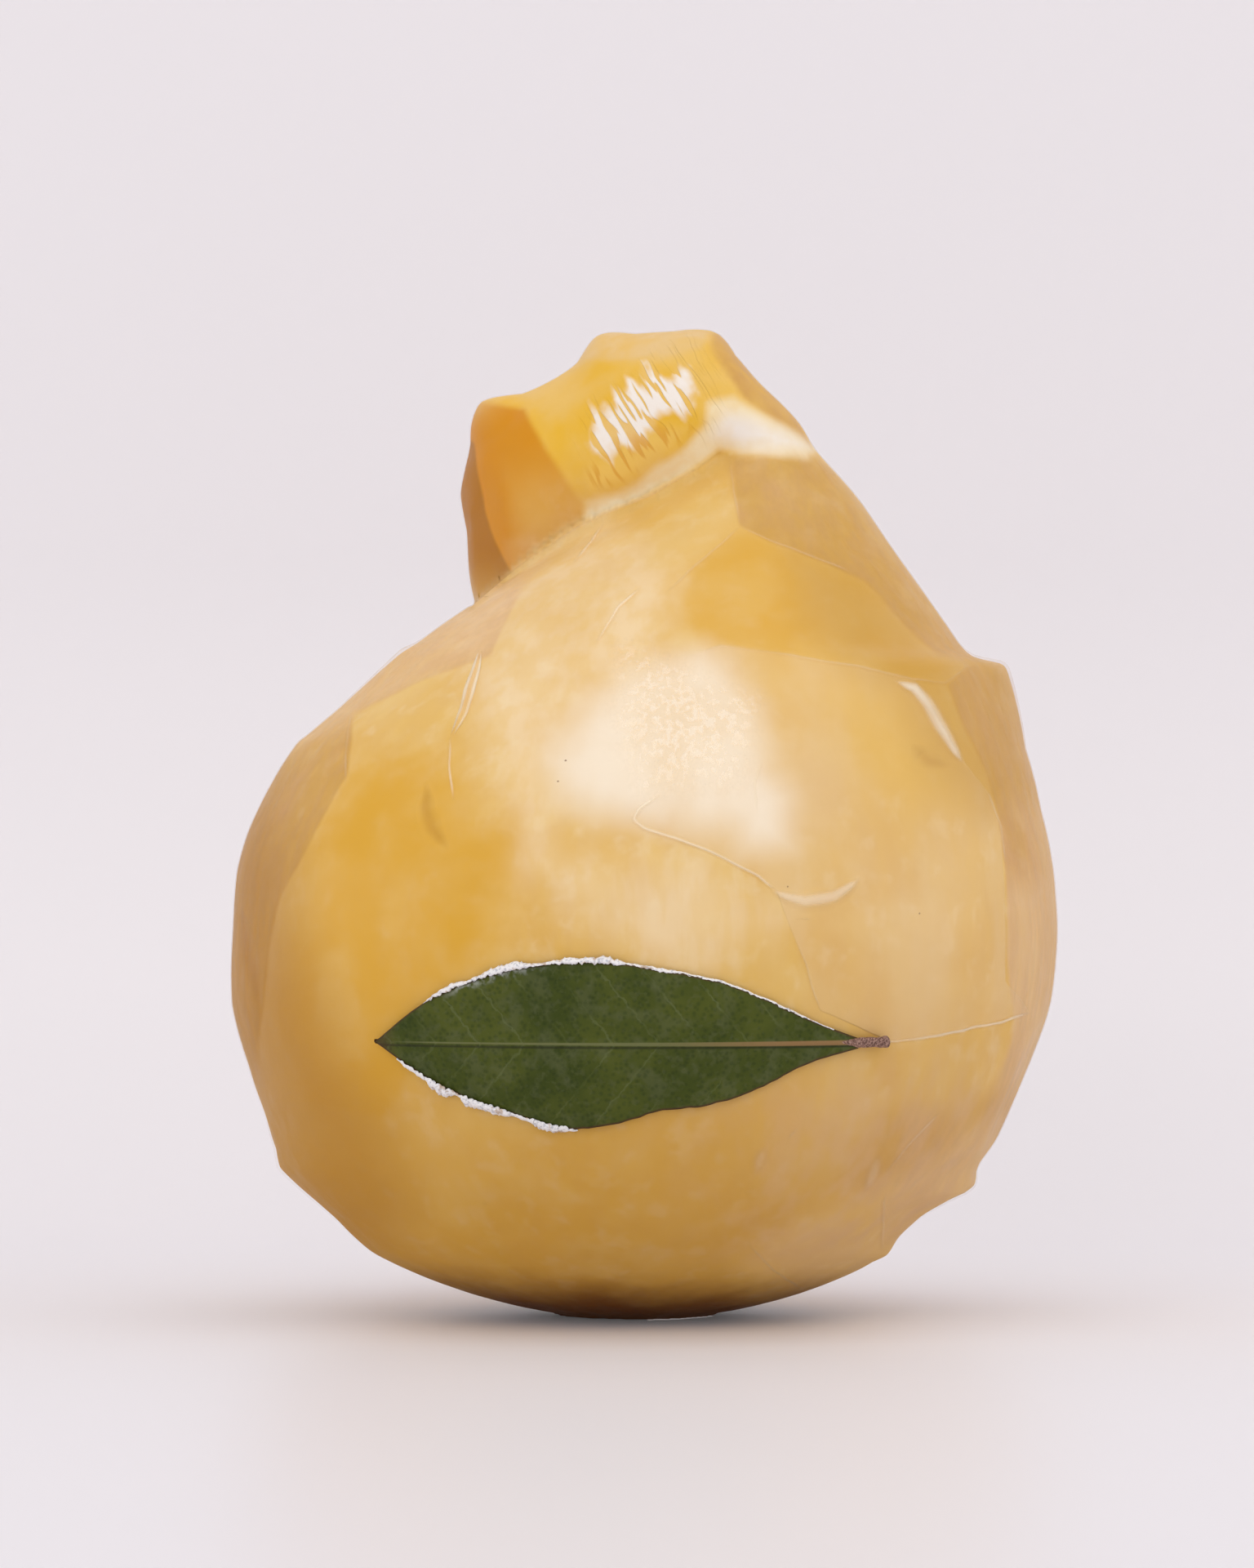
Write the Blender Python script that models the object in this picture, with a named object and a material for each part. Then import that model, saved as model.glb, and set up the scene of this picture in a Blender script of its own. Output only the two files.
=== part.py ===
"""A smoked provola in its skin-tight film, with a bay leaf on its front.

The cheese is one solid: a round belly on a small flat spot, a shoulder that narrows to a neck, and a
blunt head that is folded over to the left and back, onto the shoulder. Metres, +Z up, the front faces
-Y. The origin is at the middle of the object's box, on the surface that it stands on.
"""

import math

import bmesh
import bpy
import numpy as np
from mathutils import Vector, noise
from mathutils.bvhtree import BVHTree

MM = 0.001

# Driving dimensions of the cheese
BELLY_WIDTH = 122.0 * MM
BELLY_DEPTH = 113.0 * MM
BELLY_HEIGHT = 57.0 * MM  # the height at which the belly is widest
BELLY_FULLNESS = 2.4  # 2 is an ellipse; more is flatter underneath
BELLY_LEAN = 1.5 * MM  # the underside lies this far left of the belly's middle
FLAT_SPOT_RISE = 0.72 * MM  # how much of the round underside the flat spot takes away
NECK_HEIGHT = 126.8 * MM

# The shoulder's outline above the belly: height, left edge, right edge, front and back depth, in mm
SHOULDER = (
    (57.0, -61.0, 61.0, 56.5, 56.5),
    (66.7, -60.0, 59.9, 55.0, 55.5),
    (76.4, -56.3, 57.6, 51.5, 53.0),
    (86.0, -49.2, 53.9, 46.0, 48.5),
    (95.6, -38.5, 48.6, 39.0, 42.0),
    (105.4, -25.0, 41.5, 30.5, 34.0),
    (113.2, -12.6, 36.0, 24.0, 27.0),
    (119.8, -0.4, 31.7, 18.4, 20.6),
    (124.2, 6.8, 28.0, 15.2, 16.4),
    (126.8, 10.2, 25.5, 13.6, 14.4),
)

# The head is a row of rings that fan round the fold and then slide down along the shoulder. Each
# station: slide along the shoulder, tilt of the ring's plane, its inner and outer reach from the fold,
# its half depth, all in mm and degrees.
FOLD = (10.2, 127.0)  # x and z of the fold, in mm
SLIDE_ANGLE = 33.0  # degrees that the head dips along the shoulder
HEAD_STATIONS = (
    (0.0, -40.0, 1.0, 9.0, 6.0),
    (0.0, -14.0, 0.0, 14.0, 12.0),
    (0.0, 10.0, -1.0, 14.0, 13.8),
    (0.0, 34.0, -2.6, 12.4, 14.0),
    (0.2, 62.0, -4.2, 12.8, 14.6),
    (1.6, 90.0, -5.6, 18.9, 15.0),
    (6.0, 101.0, -6.4, 22.2, 15.4),
    (11.0, 106.0, -7.6, 24.8, 16.0),
    (16.0, 110.0, -8.4, 23.4, 16.4),
    (22.0, 112.0, -8.8, 23.9, 16.4),
    (28.0, 112.5, -9.0, 25.4, 16.2),
    (32.0, 115.0, -9.0, 23.4, 15.4),
    (35.0, 118.0, -8.6, 17.4, 14.2),
    (38.2, 119.0, -8.0, 10.6, 12.4),
    (40.8, 121.0, -7.0, 5.2, 9.6),
    (42.2, 122.0, -4.6, 1.4, 5.0),
)
HEAD_SWING = 0.52  # how far the head goes back for each step to the left
HEAD_SWING_START = 14.0 * MM  # x at which it starts to swing back
HEAD_SWING_EASE = 7.0 * MM

# Mesh fineness
SEGMENTS = 96  # points round each ring
BELLY_RINGS = 24
SHOULDER_RINGS = 28
HEAD_RINGS = 52
MERGED_GRAIN = 1.5 * MM  # grain of the one skin drawn over body and head
SMOOTHING_STEPS = 4
CHEESE_TRIANGLES = 9800

# Flat spans where the tight film bridges the round cheese: azimuth (0 right, -90 front, 90 back),
# elevation, and how deep the span cuts below the round form, in mm. The same for the head.
FILM_SPANS = (
    (-8.0, -24.0, 2.3),
    (-30.0, -44.0, 1.2),
    (-2.0, -48.0, 2.2),
    (-128.0, 34.0, 0.8),
    (-60.0, 26.0, 0.7),
    (-112.0, -44.0, 0.8),
    (28.0, -34.0, 1.8),
    (62.0, -40.0, 1.5),
    (98.0, -30.0, 2.0),
    (136.0, -36.0, 1.7),
    (40.0, 6.0, 1.2),
    (86.0, 2.0, 1.5),
    (132.0, 6.0, 1.3),
    (60.0, 36.0, 1.1),
    (112.0, 38.0, 1.2),
    (152.0, 24.0, 0.9),
)

HEAD_SPANS = (
    (-150.0, -6.0, 2.0),
    (-98.0, 22.0, 1.2),
    (-72.0, 42.0, 1.0),
    (176.0, 6.0, 0.9),
    (110.0, 12.0, 1.6),
    (78.0, 40.0, 1.2),
)
SPAN_BLEND = 0.7 * MM  # how softly a span runs out into the round form
CALM_BELOW = 100.0 * MM  # between these heights the film's relief fades out under the head
CALM_ABOVE = 107.0 * MM

# Corners where the film stands off the cheese: azimuth, height, how far it stands out, the azimuth that
# it fades over, and the distance that it fades over above and below, in degrees and mm
FILM_CORNERS = (
    (-4.0, 96.2, 2.9, 54.0, 1.8, 22.0),
    (176.0, 21.6, 2.4, 46.0, 8.0, 14.0),
    (-172.0, 9.4, 2.4, 50.0, 9.0, 9.0),
    (-4.0, 18.0, 3.0, 34.0, 3.5, 3.4),
    (-18.0, 9.6, 1.2, 30.0, 2.0, 8.0),
    (-178.0, 45.6, 0.8, 34.0, 12.0, 9.0),
    (-168.0, 84.6, 0.9, 30.0, 5.0, 9.0),
    (-164.0, 98.2, 1.1, 30.0, 1.2, 10.0),
    (84.0, 90.0, 1.8, 42.0, 2.4, 24.0),
    (52.0, 22.0, 1.8, 34.0, 14.0, 4.0),
    (118.0, 14.0, 1.7, 40.0, 12.0, 5.0),
    (146.0, 62.0, 1.0, 26.0, 20.0, 6.0),
)
LUMP_SIZE = 27.0 * MM
LUMP_DEPTH = 0.6 * MM

# The bay leaf lies across the front, tip to the left. Its half widths run from the tip to the stalk
LEAF_TIP_X = -37.8 * MM
LEAF_BASE_X = 29.2 * MM
STALK_END_X = 33.1 * MM
LEAF_HEIGHT = 41.9 * MM  # height of its midrib
LEAF_HALF_WIDTHS = {
    1: (0.1, 5.6, 8.9, 10.8, 11.6, 11.4, 10.4, 9.1, 6.6, 3.4, 0.75),
    -1: (0.1, 4.7, 8.0, 10.1, 11.9, 11.1, 9.2, 8.4, 6.0, 2.7, 0.75),
}
LEAF_THICKNESS = 0.55 * MM
STALK_THICKNESS = 1.3 * MM
STALK_HALF_WIDTH = 0.75 * MM
LEAF_STEPS = 40
STALK_STEPS = 4
LEAF_ROWS = 6  # cells on each side of the midrib
TOUCH_GAP = 0.3 * MM  # between pieces that touch
SEAT = TOUCH_GAP + 0.1 * MM

# The white edge that runs along the leaf: side, and the first and last share of the leaf's length
WHITE_EDGES = {"white_edge_upper": (1, 0.07, 0.93), "white_edge_lower": (-1, 0.05, 0.43)}
EDGE_WIDTH = 0.85 * MM
EDGE_THICKNESS = 0.75 * MM
EDGE_STEPS = 46

SMOKED_SKIN = (0.80, 0.50, 0.17)
LEAF_GREEN = (0.06, 0.09, 0.02)
WHITE_PASTE = (0.87, 0.84, 0.78)
EDGE_ANGLE = math.radians(40.0)
MERGE_DISTANCE = 0.00005
FAR_AWAY = 0.2  # where the rays that look for the surface start


def clear_scene():
    for obj in list(bpy.data.objects):
        bpy.data.objects.remove(obj, do_unlink=True)


def material(name, colour, roughness):
    made = bpy.data.materials.new(name)
    made.use_nodes = True
    shader = made.node_tree.nodes["Principled BSDF"]
    shader.inputs["Base Color"].default_value = (*colour, 1.0)
    shader.inputs["Roughness"].default_value = roughness
    return made


def add_object(name, mesh, finish):
    obj = bpy.data.objects.new(name, mesh)
    bpy.context.scene.collection.objects.link(obj)
    mesh.materials.append(finish)
    return obj


def soften(mesh):
    mesh.shade_smooth()
    mesh.set_sharp_from_angle(angle=EDGE_ANGLE)


def through(rows, t):
    """The smooth curve through the rows of a table, at t from 0 (first row) to 1 (last row)."""
    rows = np.asarray(rows, float)
    place = min(max(t, 0.0), 1.0) * (len(rows) - 1)
    i = min(int(place), len(rows) - 2)
    f = place - i
    before = rows[i - 1] if i > 0 else 2 * rows[0] - rows[1]
    after = rows[i + 2] if i + 2 < len(rows) else 2 * rows[-1] - rows[-2]
    a, b = rows[i], rows[i + 1]
    slope_a, slope_b = (b - before) / 2, (after - a) / 2
    return (
        (2 * f**3 - 3 * f**2 + 1) * a
        + (f**3 - 2 * f**2 + f) * slope_a
        + (3 * f**2 - 2 * f**3) * b
        + (f**3 - f**2) * slope_b
    )


def shoulder_section(z):
    """The shoulder table's row at height z, found by halving."""
    low, high = 0.0, 1.0
    for _ in range(30):
        middle = (low + high) / 2
        if through(SHOULDER, middle)[0] * MM < z:
            low = middle
        else:
            high = middle
    return tuple(through(SHOULDER, (low + high) / 2)[1:] * MM)


def body_section(z):
    """Left and right edge, front and back depth of the belly or shoulder at height z, in metres."""
    if z >= BELLY_HEIGHT:
        return shoulder_section(min(z, NECK_HEIGHT))
    below = (BELLY_HEIGHT - z) / (BELLY_HEIGHT + FLAT_SPOT_RISE)
    share = max(0.0, 1.0 - below**BELLY_FULLNESS) ** 0.5
    half, deep = BELLY_WIDTH / 2 * share, BELLY_DEPTH / 2 * share
    lean = BELLY_LEAN * below
    return -half - lean, half - lean, deep, deep


def on_section(z, angle):
    """The point of the body's section at height z in a direction, angle 0 right and -90 front."""
    left, right, front, back = body_section(z)
    half = (right - left) / 2
    deep = back if math.sin(angle) > 0 else front
    return Vector(((left + right) / 2 + half * math.cos(angle), deep * math.sin(angle), z))


def ring_angles():
    return [2 * math.pi * i / SEGMENTS for i in range(SEGMENTS)]


def body_rings():
    """Level rings from the round underside up to the neck."""
    rings = []
    for i in range(1, BELLY_RINGS):
        tilt = math.pi / 2 * i / BELLY_RINGS
        z = BELLY_HEIGHT - (BELLY_HEIGHT + FLAT_SPOT_RISE) * math.cos(tilt)
        rings.append([on_section(z, a) for a in ring_angles()])
    for i in range(SHOULDER_RINGS + 1):
        z = BELLY_HEIGHT + (NECK_HEIGHT - BELLY_HEIGHT) * i / SHOULDER_RINGS
        rings.append([on_section(z, a) for a in ring_angles()])
    return rings


def swung_back(point):
    """The head's point, moved back the more the further left it lies."""
    left = max(0.0, HEAD_SWING_START - point.x)
    return point + Vector((0.0, HEAD_SWING * left * left / (left + HEAD_SWING_EASE), 0.0))


def head_ring(t):
    """One ring of the head, at t from 0 (inside the neck) to 1 (blunt end)."""
    slide, tilt, inner, outer, deep = through(HEAD_STATIONS, t)
    dip, tilt = math.radians(SLIDE_ANGLE), math.radians(tilt)
    fold = Vector((FOLD[0] - slide * math.cos(dip), 0.0, FOLD[1] - slide * math.sin(dip)))
    outward = Vector((math.cos(tilt), 0.0, math.sin(tilt)))
    centre = fold + outward * (inner + outer) / 2
    ring = []
    for angle in ring_angles():
        across = Vector((0.0, deep * math.sin(angle), 0.0))
        point = centre + outward * ((outer - inner) / 2 * math.cos(angle)) + across
        ring.append(swung_back(point * MM))
    return ring


def skin_over(bm, rings):
    """Adds a closed skin through rings of equal count, with a pole at each end."""
    verts = [[bm.verts.new(p) for p in ring] for ring in rings]
    poles = [bm.verts.new(sum(ring, Vector()) / len(ring)) for ring in (rings[0], rings[-1])]
    faces = []
    for i in range(SEGMENTS):
        j = (i + 1) % SEGMENTS
        for lower, upper in zip(verts, verts[1:]):
            faces.append(bm.faces.new((lower[i], lower[j], upper[j], upper[i])))
        faces.append(bm.faces.new((poles[0], verts[0][j], verts[0][i])))
        faces.append(bm.faces.new((poles[1], verts[-1][i], verts[-1][j])))
    bmesh.ops.recalc_face_normals(bm, faces=faces)


def drawn_in(points, centre, spans):
    """The points drawn in to the film's flat spans, each plane measured from the centre."""
    round_form = points
    points = points.copy()
    for azimuth, elevation, depth in spans:
        az, el = math.radians(azimuth), math.radians(elevation)
        normal = np.array((math.cos(el) * math.cos(az), math.cos(el) * math.sin(az), math.sin(el)))
        level = ((round_form - centre) @ normal).max() - depth * MM
        over = np.maximum((points - centre) @ normal - level, 0.0)
        points -= np.outer(over * over / (over + SPAN_BLEND), normal)
    return points


def corner_heights(points):
    """How far the film's corners stand out at each point of the body."""
    azimuth = np.degrees(np.arctan2(points[:, 1], points[:, 0]))
    out = np.zeros(len(points))
    for corner, height, stand, spread, above, below in FILM_CORNERS:
        aside = ((azimuth - corner + 180.0) % 360.0 - 180.0) / spread
        rise = points[:, 2] / MM - height
        away = np.where(rise > 0, rise / above, -rise / below)
        out = np.maximum(out, stand * np.clip(1 - aside**2, 0, 1) * np.clip(1 - away, 0, 1))
    return out * MM


def film_relief(mesh):
    """Draws the skin in to the film's flat spans and out to its corners, and adds broad lumps."""
    points = np.array([v.co for v in mesh.vertices])
    on_head = np.array([belongs_to_head(p) for p in points])
    body, head = points[~on_head], points[on_head]
    middle = np.array((0.0, 0.0, BELLY_HEIGHT))
    side = body * (1.0, 1.0, 0.0)
    side /= np.linalg.norm(side, axis=1)[:, None] + MM
    relief = drawn_in(body, middle, FILM_SPANS) + side * corner_heights(body)[:, None] - body
    calm = np.clip((CALM_ABOVE - body[:, 2]) / (CALM_ABOVE - CALM_BELOW), 0, 1)
    points[~on_head] = body + relief * calm[:, None]
    relief = drawn_in(head, head.mean(axis=0), HEAD_SPANS) - head
    calm = np.clip((head[:, 2] - CALM_BELOW) / (CALM_ABOVE - CALM_BELOW), 0, 1)
    points[on_head] = head + relief * calm[:, None]
    away = points - middle
    away /= np.linalg.norm(away, axis=1)[:, None]
    lumps = np.array([noise.noise(Vector(p) / LUMP_SIZE) for p in points]) * LUMP_DEPTH
    fade = np.clip(points[:, 2] / LUMP_SIZE, 0, 1)
    points += away * (lumps * fade)[:, None]
    mesh.vertices.foreach_set("co", points.astype(np.float32).ravel())
    mesh.update()


def belongs_to_head(point):
    """Whether a point of the skin lies above the neck, or left of the shoulder."""
    above_neck = point[2] > NECK_HEIGHT
    return above_neck or (point[2] > BELLY_HEIGHT and point[0] < body_section(point[2])[0] - MM)


def evaluated(obj):
    """The object's mesh with its modifiers."""
    return bpy.data.meshes.new_from_object(obj.evaluated_get(bpy.context.evaluated_depsgraph_get()))


def cut_flat_spot(mesh):
    """Cuts the round underside off at the level of the surface that the cheese stands on."""
    bm = bmesh.new()
    bm.from_mesh(mesh)
    parts = bm.verts[:] + bm.edges[:] + bm.faces[:]
    cut = bmesh.ops.bisect_plane(
        bm, geom=parts, dist=MERGE_DISTANCE, plane_co=(0, 0, 0), plane_no=(0, 0, 1), clear_inner=True
    )
    rim = [e for e in cut["geom_cut"] if isinstance(e, bmesh.types.BMEdge)]
    flat = bmesh.ops.contextual_create(bm, geom=rim)["faces"]
    for v in bm.verts:
        v.co.z = 0.0 if v.co.z < MERGE_DISTANCE else v.co.z
    bmesh.ops.triangulate(bm, faces=flat)
    bmesh.ops.remove_doubles(bm, verts=bm.verts, dist=MERGE_DISTANCE)
    bmesh.ops.recalc_face_normals(bm, faces=bm.faces)
    bm.to_mesh(mesh)
    bm.free()


def make_cheese(finish):
    """Body and head under one skin, with the film's relief."""
    bm = bmesh.new()
    skin_over(bm, body_rings())
    skin_over(bm, [head_ring(i / HEAD_RINGS) for i in range(HEAD_RINGS + 1)])
    rough = bpy.data.meshes.new("provola_rough")
    bm.to_mesh(rough)
    bm.free()
    obj = add_object("provola", rough, finish)
    merged = obj.modifiers.new("one_skin", "REMESH")
    merged.mode = "VOXEL"
    merged.voxel_size = MERGED_GRAIN
    smooth = obj.modifiers.new("smooth", "SMOOTH")
    smooth.iterations = SMOOTHING_STEPS
    skin = evaluated(obj)
    obj.modifiers.clear()
    film_relief(skin)
    obj.data = skin
    skin.name = "provola"
    bpy.data.meshes.remove(rough)
    thin = obj.modifiers.new("fewer_faces", "DECIMATE")
    thin.ratio = CHEESE_TRIANGLES / (2.0 * len(skin.polygons))
    thin.use_collapse_triangulate = True
    final = evaluated(obj)
    obj.modifiers.clear()
    cut_flat_spot(final)
    obj.data = final
    final.name = "provola"
    bpy.data.meshes.remove(skin)
    soften(final)
    return obj


def tree_of(obj):
    points = [v.co.copy() for v in obj.data.vertices]
    return BVHTree.FromPolygons(points, [tuple(p.vertices) for p in obj.data.polygons])


def on_front(tree, x, z, out):
    """The point of the cheese's front at x and z, moved out to the front."""
    hit = tree.ray_cast(Vector((x, -FAR_AWAY, z)), Vector((0.0, 1.0, 0.0)))[0]
    lean = Vector((hit.x, hit.y, 0.0)).normalized()
    return hit + lean * out


def leaf_edge(u, side):
    """x and z of the leaf's edge at u from 0 (tip) to 1 (stalk)."""
    x = LEAF_TIP_X + (LEAF_BASE_X - LEAF_TIP_X) * u
    half = float(through([[w] for w in LEAF_HALF_WIDTHS[side]], u)[0]) * MM
    return x, LEAF_HEIGHT + side * max(half, 0.1 * MM)


def thin_solid(name, outer, inner, finish):
    """A closed thin solid between two grids of points, both split into the same triangles."""
    rows, columns = len(outer), len(outer[0])
    bm = bmesh.new()
    top = [[bm.verts.new(p) for p in row] for row in outer]
    low = [[bm.verts.new(p) for p in row] for row in inner]
    for i in range(rows - 1):
        for j in range(columns - 1):
            a, b, c, d = (i, j), (i + 1, j), (i + 1, j + 1), (i, j + 1)
            for p, q, r in ((a, b, c), (a, c, d)):
                bm.faces.new((top[p[0]][p[1]], top[q[0]][q[1]], top[r[0]][r[1]]))
                bm.faces.new((low[r[0]][r[1]], low[q[0]][q[1]], low[p[0]][p[1]]))
    rim = [(i, 0) for i in range(rows)] + [(rows - 1, j) for j in range(1, columns)]
    rim += [(i, columns - 1) for i in range(rows - 2, -1, -1)] + [(0, j) for j in range(columns - 2, 0, -1)]
    for (i, j), (k, m) in zip(rim, rim[1:] + rim[:1]):
        bm.faces.new((top[k][m], top[i][j], low[i][j]))
        bm.faces.new((top[k][m], low[i][j], low[k][m]))
    bmesh.ops.recalc_face_normals(bm, faces=bm.faces)
    mesh = bpy.data.meshes.new(name)
    bm.to_mesh(mesh)
    bm.free()
    obj = add_object(name, mesh, finish)
    soften(mesh)
    return obj


def make_leaf(tree, finish):
    """The leaf blade and its stalk, pressed to the cheese's front."""
    outer, inner = [], []
    for i in range(1, LEAF_STEPS + STALK_STEPS + 1):
        u = min(1.0, i / LEAF_STEPS)
        stalk = max(0.0, (i - LEAF_STEPS) / STALK_STEPS)
        x = LEAF_TIP_X + (LEAF_BASE_X - LEAF_TIP_X) * u + (STALK_END_X - LEAF_BASE_X) * stalk
        swell = min(1.0, max(0.0, (u - 0.9) / 0.1))
        top_row, low_row = [], []
        for j in range(-LEAF_ROWS, LEAF_ROWS + 1):
            side = 1 if j >= 0 else -1
            edge = leaf_edge(u, side)[1]
            share = abs(j) / LEAF_ROWS
            z = LEAF_HEIGHT + (edge - LEAF_HEIGHT) * share
            near_rib = max(0.0, 1.0 - abs(z - LEAF_HEIGHT) / (2 * STALK_HALF_WIDTH))
            thick = LEAF_THICKNESS + (STALK_THICKNESS - LEAF_THICKNESS) * near_rib * max(0.35 * u, swell)
            ripple = 0.1 * MM * (1 + math.sin(9.0 * u + 2.4 * share * side))
            low_row.append(on_front(tree, x, z, SEAT + ripple))
            top_row.append(on_front(tree, x, z, SEAT + ripple + thick))
        outer.append(top_row)
        inner.append(low_row)
    return thin_solid("bay_leaf", outer, inner, finish)


def make_white_edge(name, tree, finish):
    """The crumbly white strip that runs along one edge of the leaf."""
    side, first, last = WHITE_EDGES[name]
    outer, inner = [], []
    for i in range(EDGE_STEPS + 1):
        share = i / EDGE_STEPS
        u = first + (last - first) * share
        x, z = leaf_edge(u, side)
        ahead, behind = leaf_edge(u + 0.01, side), leaf_edge(u - 0.01, side)
        along = Vector((ahead[0] - behind[0], ahead[1] - behind[1])).normalized()
        away = Vector((-along.y, along.x)) * side
        taper = math.sin(math.pi * share) ** 0.5
        crumble = abs(noise.noise(Vector((u * 31.0, side, 0.3))))
        width = EDGE_WIDTH * (0.25 + taper * (0.55 + 0.6 * crumble))
        lift = EDGE_THICKNESS * (0.45 + taper * 0.5 + 0.3 * noise.noise(Vector((u * 47.0, side, 1.7))))
        spots = [(x + away.x * s, z + away.y * s) for s in (SEAT, SEAT + width / 2, SEAT + width)]
        heights = (0.8 * lift, lift, 0.5 * lift)
        inner.append([on_front(tree, *spot, SEAT) for spot in spots])
        outer.append([on_front(tree, *spot, SEAT + up) for spot, up in zip(spots, heights)])
    return thin_solid(name, outer, inner, finish)


def centre_on_origin(objects):
    """Moves the whole object so that the middle of its box lies over the origin."""
    points = np.array([v.co for obj in objects for v in obj.data.vertices])
    low, high = points.min(axis=0), points.max(axis=0)
    shift = Vector((-(low[0] + high[0]) / 2, -(low[1] + high[1]) / 2, -low[2]))
    for obj in objects:
        for v in obj.data.vertices:
            v.co += shift
        obj.data.update()
    print("moved to the origin by, in mm:", [round(c / MM, 2) for c in shift])


def main():
    clear_scene()
    cheese = make_cheese(material("smoked_skin", SMOKED_SKIN, 0.35))
    tree = tree_of(cheese)
    paste = material("white_paste", WHITE_PASTE, 0.6)
    objects = [cheese, make_leaf(tree, material("leaf", LEAF_GREEN, 0.5))]
    objects += [make_white_edge(name, tree, paste) for name in WHITE_EDGES]
    centre_on_origin(objects)


main()
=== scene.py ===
# %% [markdown]
# # Smoked provola with a bay leaf
# A provola is a pulled-curd cheese with a round belly, a narrow neck and a small head. This one is
# smoked, drawn tightly into clear film, and its head is folded over onto the shoulder. A bay leaf lies
# across its front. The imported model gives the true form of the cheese, so every piece here starts from
# it or is laid on it, and adds what the eye wants: the folds of the film, smoke colour and gloss.

# %% Load the model
import math

import bpy
import numpy as np
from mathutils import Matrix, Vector, noise
from mathutils.bvhtree import BVHTree


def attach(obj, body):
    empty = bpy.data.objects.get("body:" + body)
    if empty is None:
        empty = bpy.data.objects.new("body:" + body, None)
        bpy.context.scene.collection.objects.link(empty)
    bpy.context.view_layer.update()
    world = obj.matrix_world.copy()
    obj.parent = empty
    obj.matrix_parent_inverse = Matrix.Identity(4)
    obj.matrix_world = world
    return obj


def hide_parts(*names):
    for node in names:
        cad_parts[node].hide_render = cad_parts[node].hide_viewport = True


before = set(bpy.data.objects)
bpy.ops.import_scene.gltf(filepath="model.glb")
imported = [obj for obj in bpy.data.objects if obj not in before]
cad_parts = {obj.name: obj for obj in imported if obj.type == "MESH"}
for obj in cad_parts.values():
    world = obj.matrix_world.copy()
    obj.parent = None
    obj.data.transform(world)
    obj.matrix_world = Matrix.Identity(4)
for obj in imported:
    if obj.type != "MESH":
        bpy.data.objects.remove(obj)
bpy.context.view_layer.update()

MM = 0.001
print("nodes:", ", ".join(sorted(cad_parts)))

# %% [markdown]
# Every operator works on what is selected, and loading leaves the model's nodes selected. These small
# helpers keep that in hand. One makes a single object the selected and active one, one applies a
# modifier for good, as a click on Apply would, and one turns all faces outward and shades them smoothly.


# %% Selection helpers
def only(obj):
    """Selects one object alone and makes it the active one."""
    bpy.ops.object.select_all(action="DESELECT")
    obj.select_set(True)
    bpy.context.view_layer.objects.active = obj


def apply_modifier(obj, kind, **settings):
    """Adds a modifier with these settings and applies it."""
    only(obj)
    modifier = obj.modifiers.new(kind.lower(), kind)
    for name, value in settings.items():
        setattr(modifier, name, value)
    bpy.ops.object.modifier_apply(modifier=modifier.name)


def finish_surface(obj):
    """Turns all faces outward and shades them smoothly."""
    only(obj)
    bpy.ops.object.mode_set(mode="EDIT")
    bpy.ops.mesh.select_all(action="SELECT")
    bpy.ops.mesh.normals_make_consistent(inside=False)
    bpy.ops.object.mode_set(mode="OBJECT")
    bpy.ops.object.shade_smooth()


def tell(obj, what):
    """Prints what was made and how large its mesh is."""
    print(f"{obj.name}: {what}, {len(obj.data.vertices)} points, {len(obj.data.polygons)} faces")


print("selection helpers ready")


# %% [markdown]
# The cheese is looked at straight from the front, from about a metre away, with a long lens, and the
# lens is level with the middle of the picture. A long lens keeps the round belly from bulging. The
# focal length follows from three sizes: the sensor's long side, the distance, and the height that the
# picture covers at the cheese.

# %% Camera
EYE_X = -2.6 * MM
EYE_HEIGHT = 78.3 * MM
EYE_DISTANCE = 1.0
PICTURE_HEIGHT = 231.2 * MM
SENSOR = 36.0
NEAREST_SEEN = 0.05

camera_data = bpy.data.cameras.new("camera")
camera_data.sensor_width = SENSOR
camera_data.lens = SENSOR * EYE_DISTANCE / PICTURE_HEIGHT
camera_data.clip_start = NEAREST_SEEN
camera = bpy.data.objects.new("camera", camera_data)
camera.location = (EYE_X, -EYE_DISTANCE, EYE_HEIGHT)
camera.rotation_euler = (math.radians(90.0), 0.0, 0.0)
bpy.context.scene.collection.objects.link(camera)
bpy.context.scene.camera = camera
print(f"lens {camera_data.lens:.0f} mm at {EYE_DISTANCE} m")

# %% [markdown]
# A product table has no corner between floor and wall: the paper sweeps up in one curve, so no line
# shows behind the food. The sweep is a flat sheet whose back edge is pulled up and rounded with a
# bevel. A second sheet lies just under it and runs on behind the wall, for a look from the back.

# %% Paper sweep
SWEEP_WIDTH = 7.0
SWEEP_FRONT = -3.5
SWEEP_BACK = 0.26
SWEEP_HEIGHT = 1.5
SWEEP_RADIUS = 0.12
BEHIND_DEPTH = 3.5
BEHIND_DROP = 0.0005
NEAR = 0.01  # an edge belongs to the back, or to the floor, within this distance, in metres


def flat_sheet(name, front, back, height):
    """A level sheet of paper from front to back at a height."""
    bpy.ops.object.select_all(action="DESELECT")
    bpy.ops.mesh.primitive_plane_add(size=1.0, location=(0, (front + back) / 2, height))
    sheet = bpy.context.active_object
    sheet.name = name
    sheet.scale = (SWEEP_WIDTH, back - front, 1)
    bpy.ops.object.transform_apply(location=True, rotation=False, scale=True)
    return sheet


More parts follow.
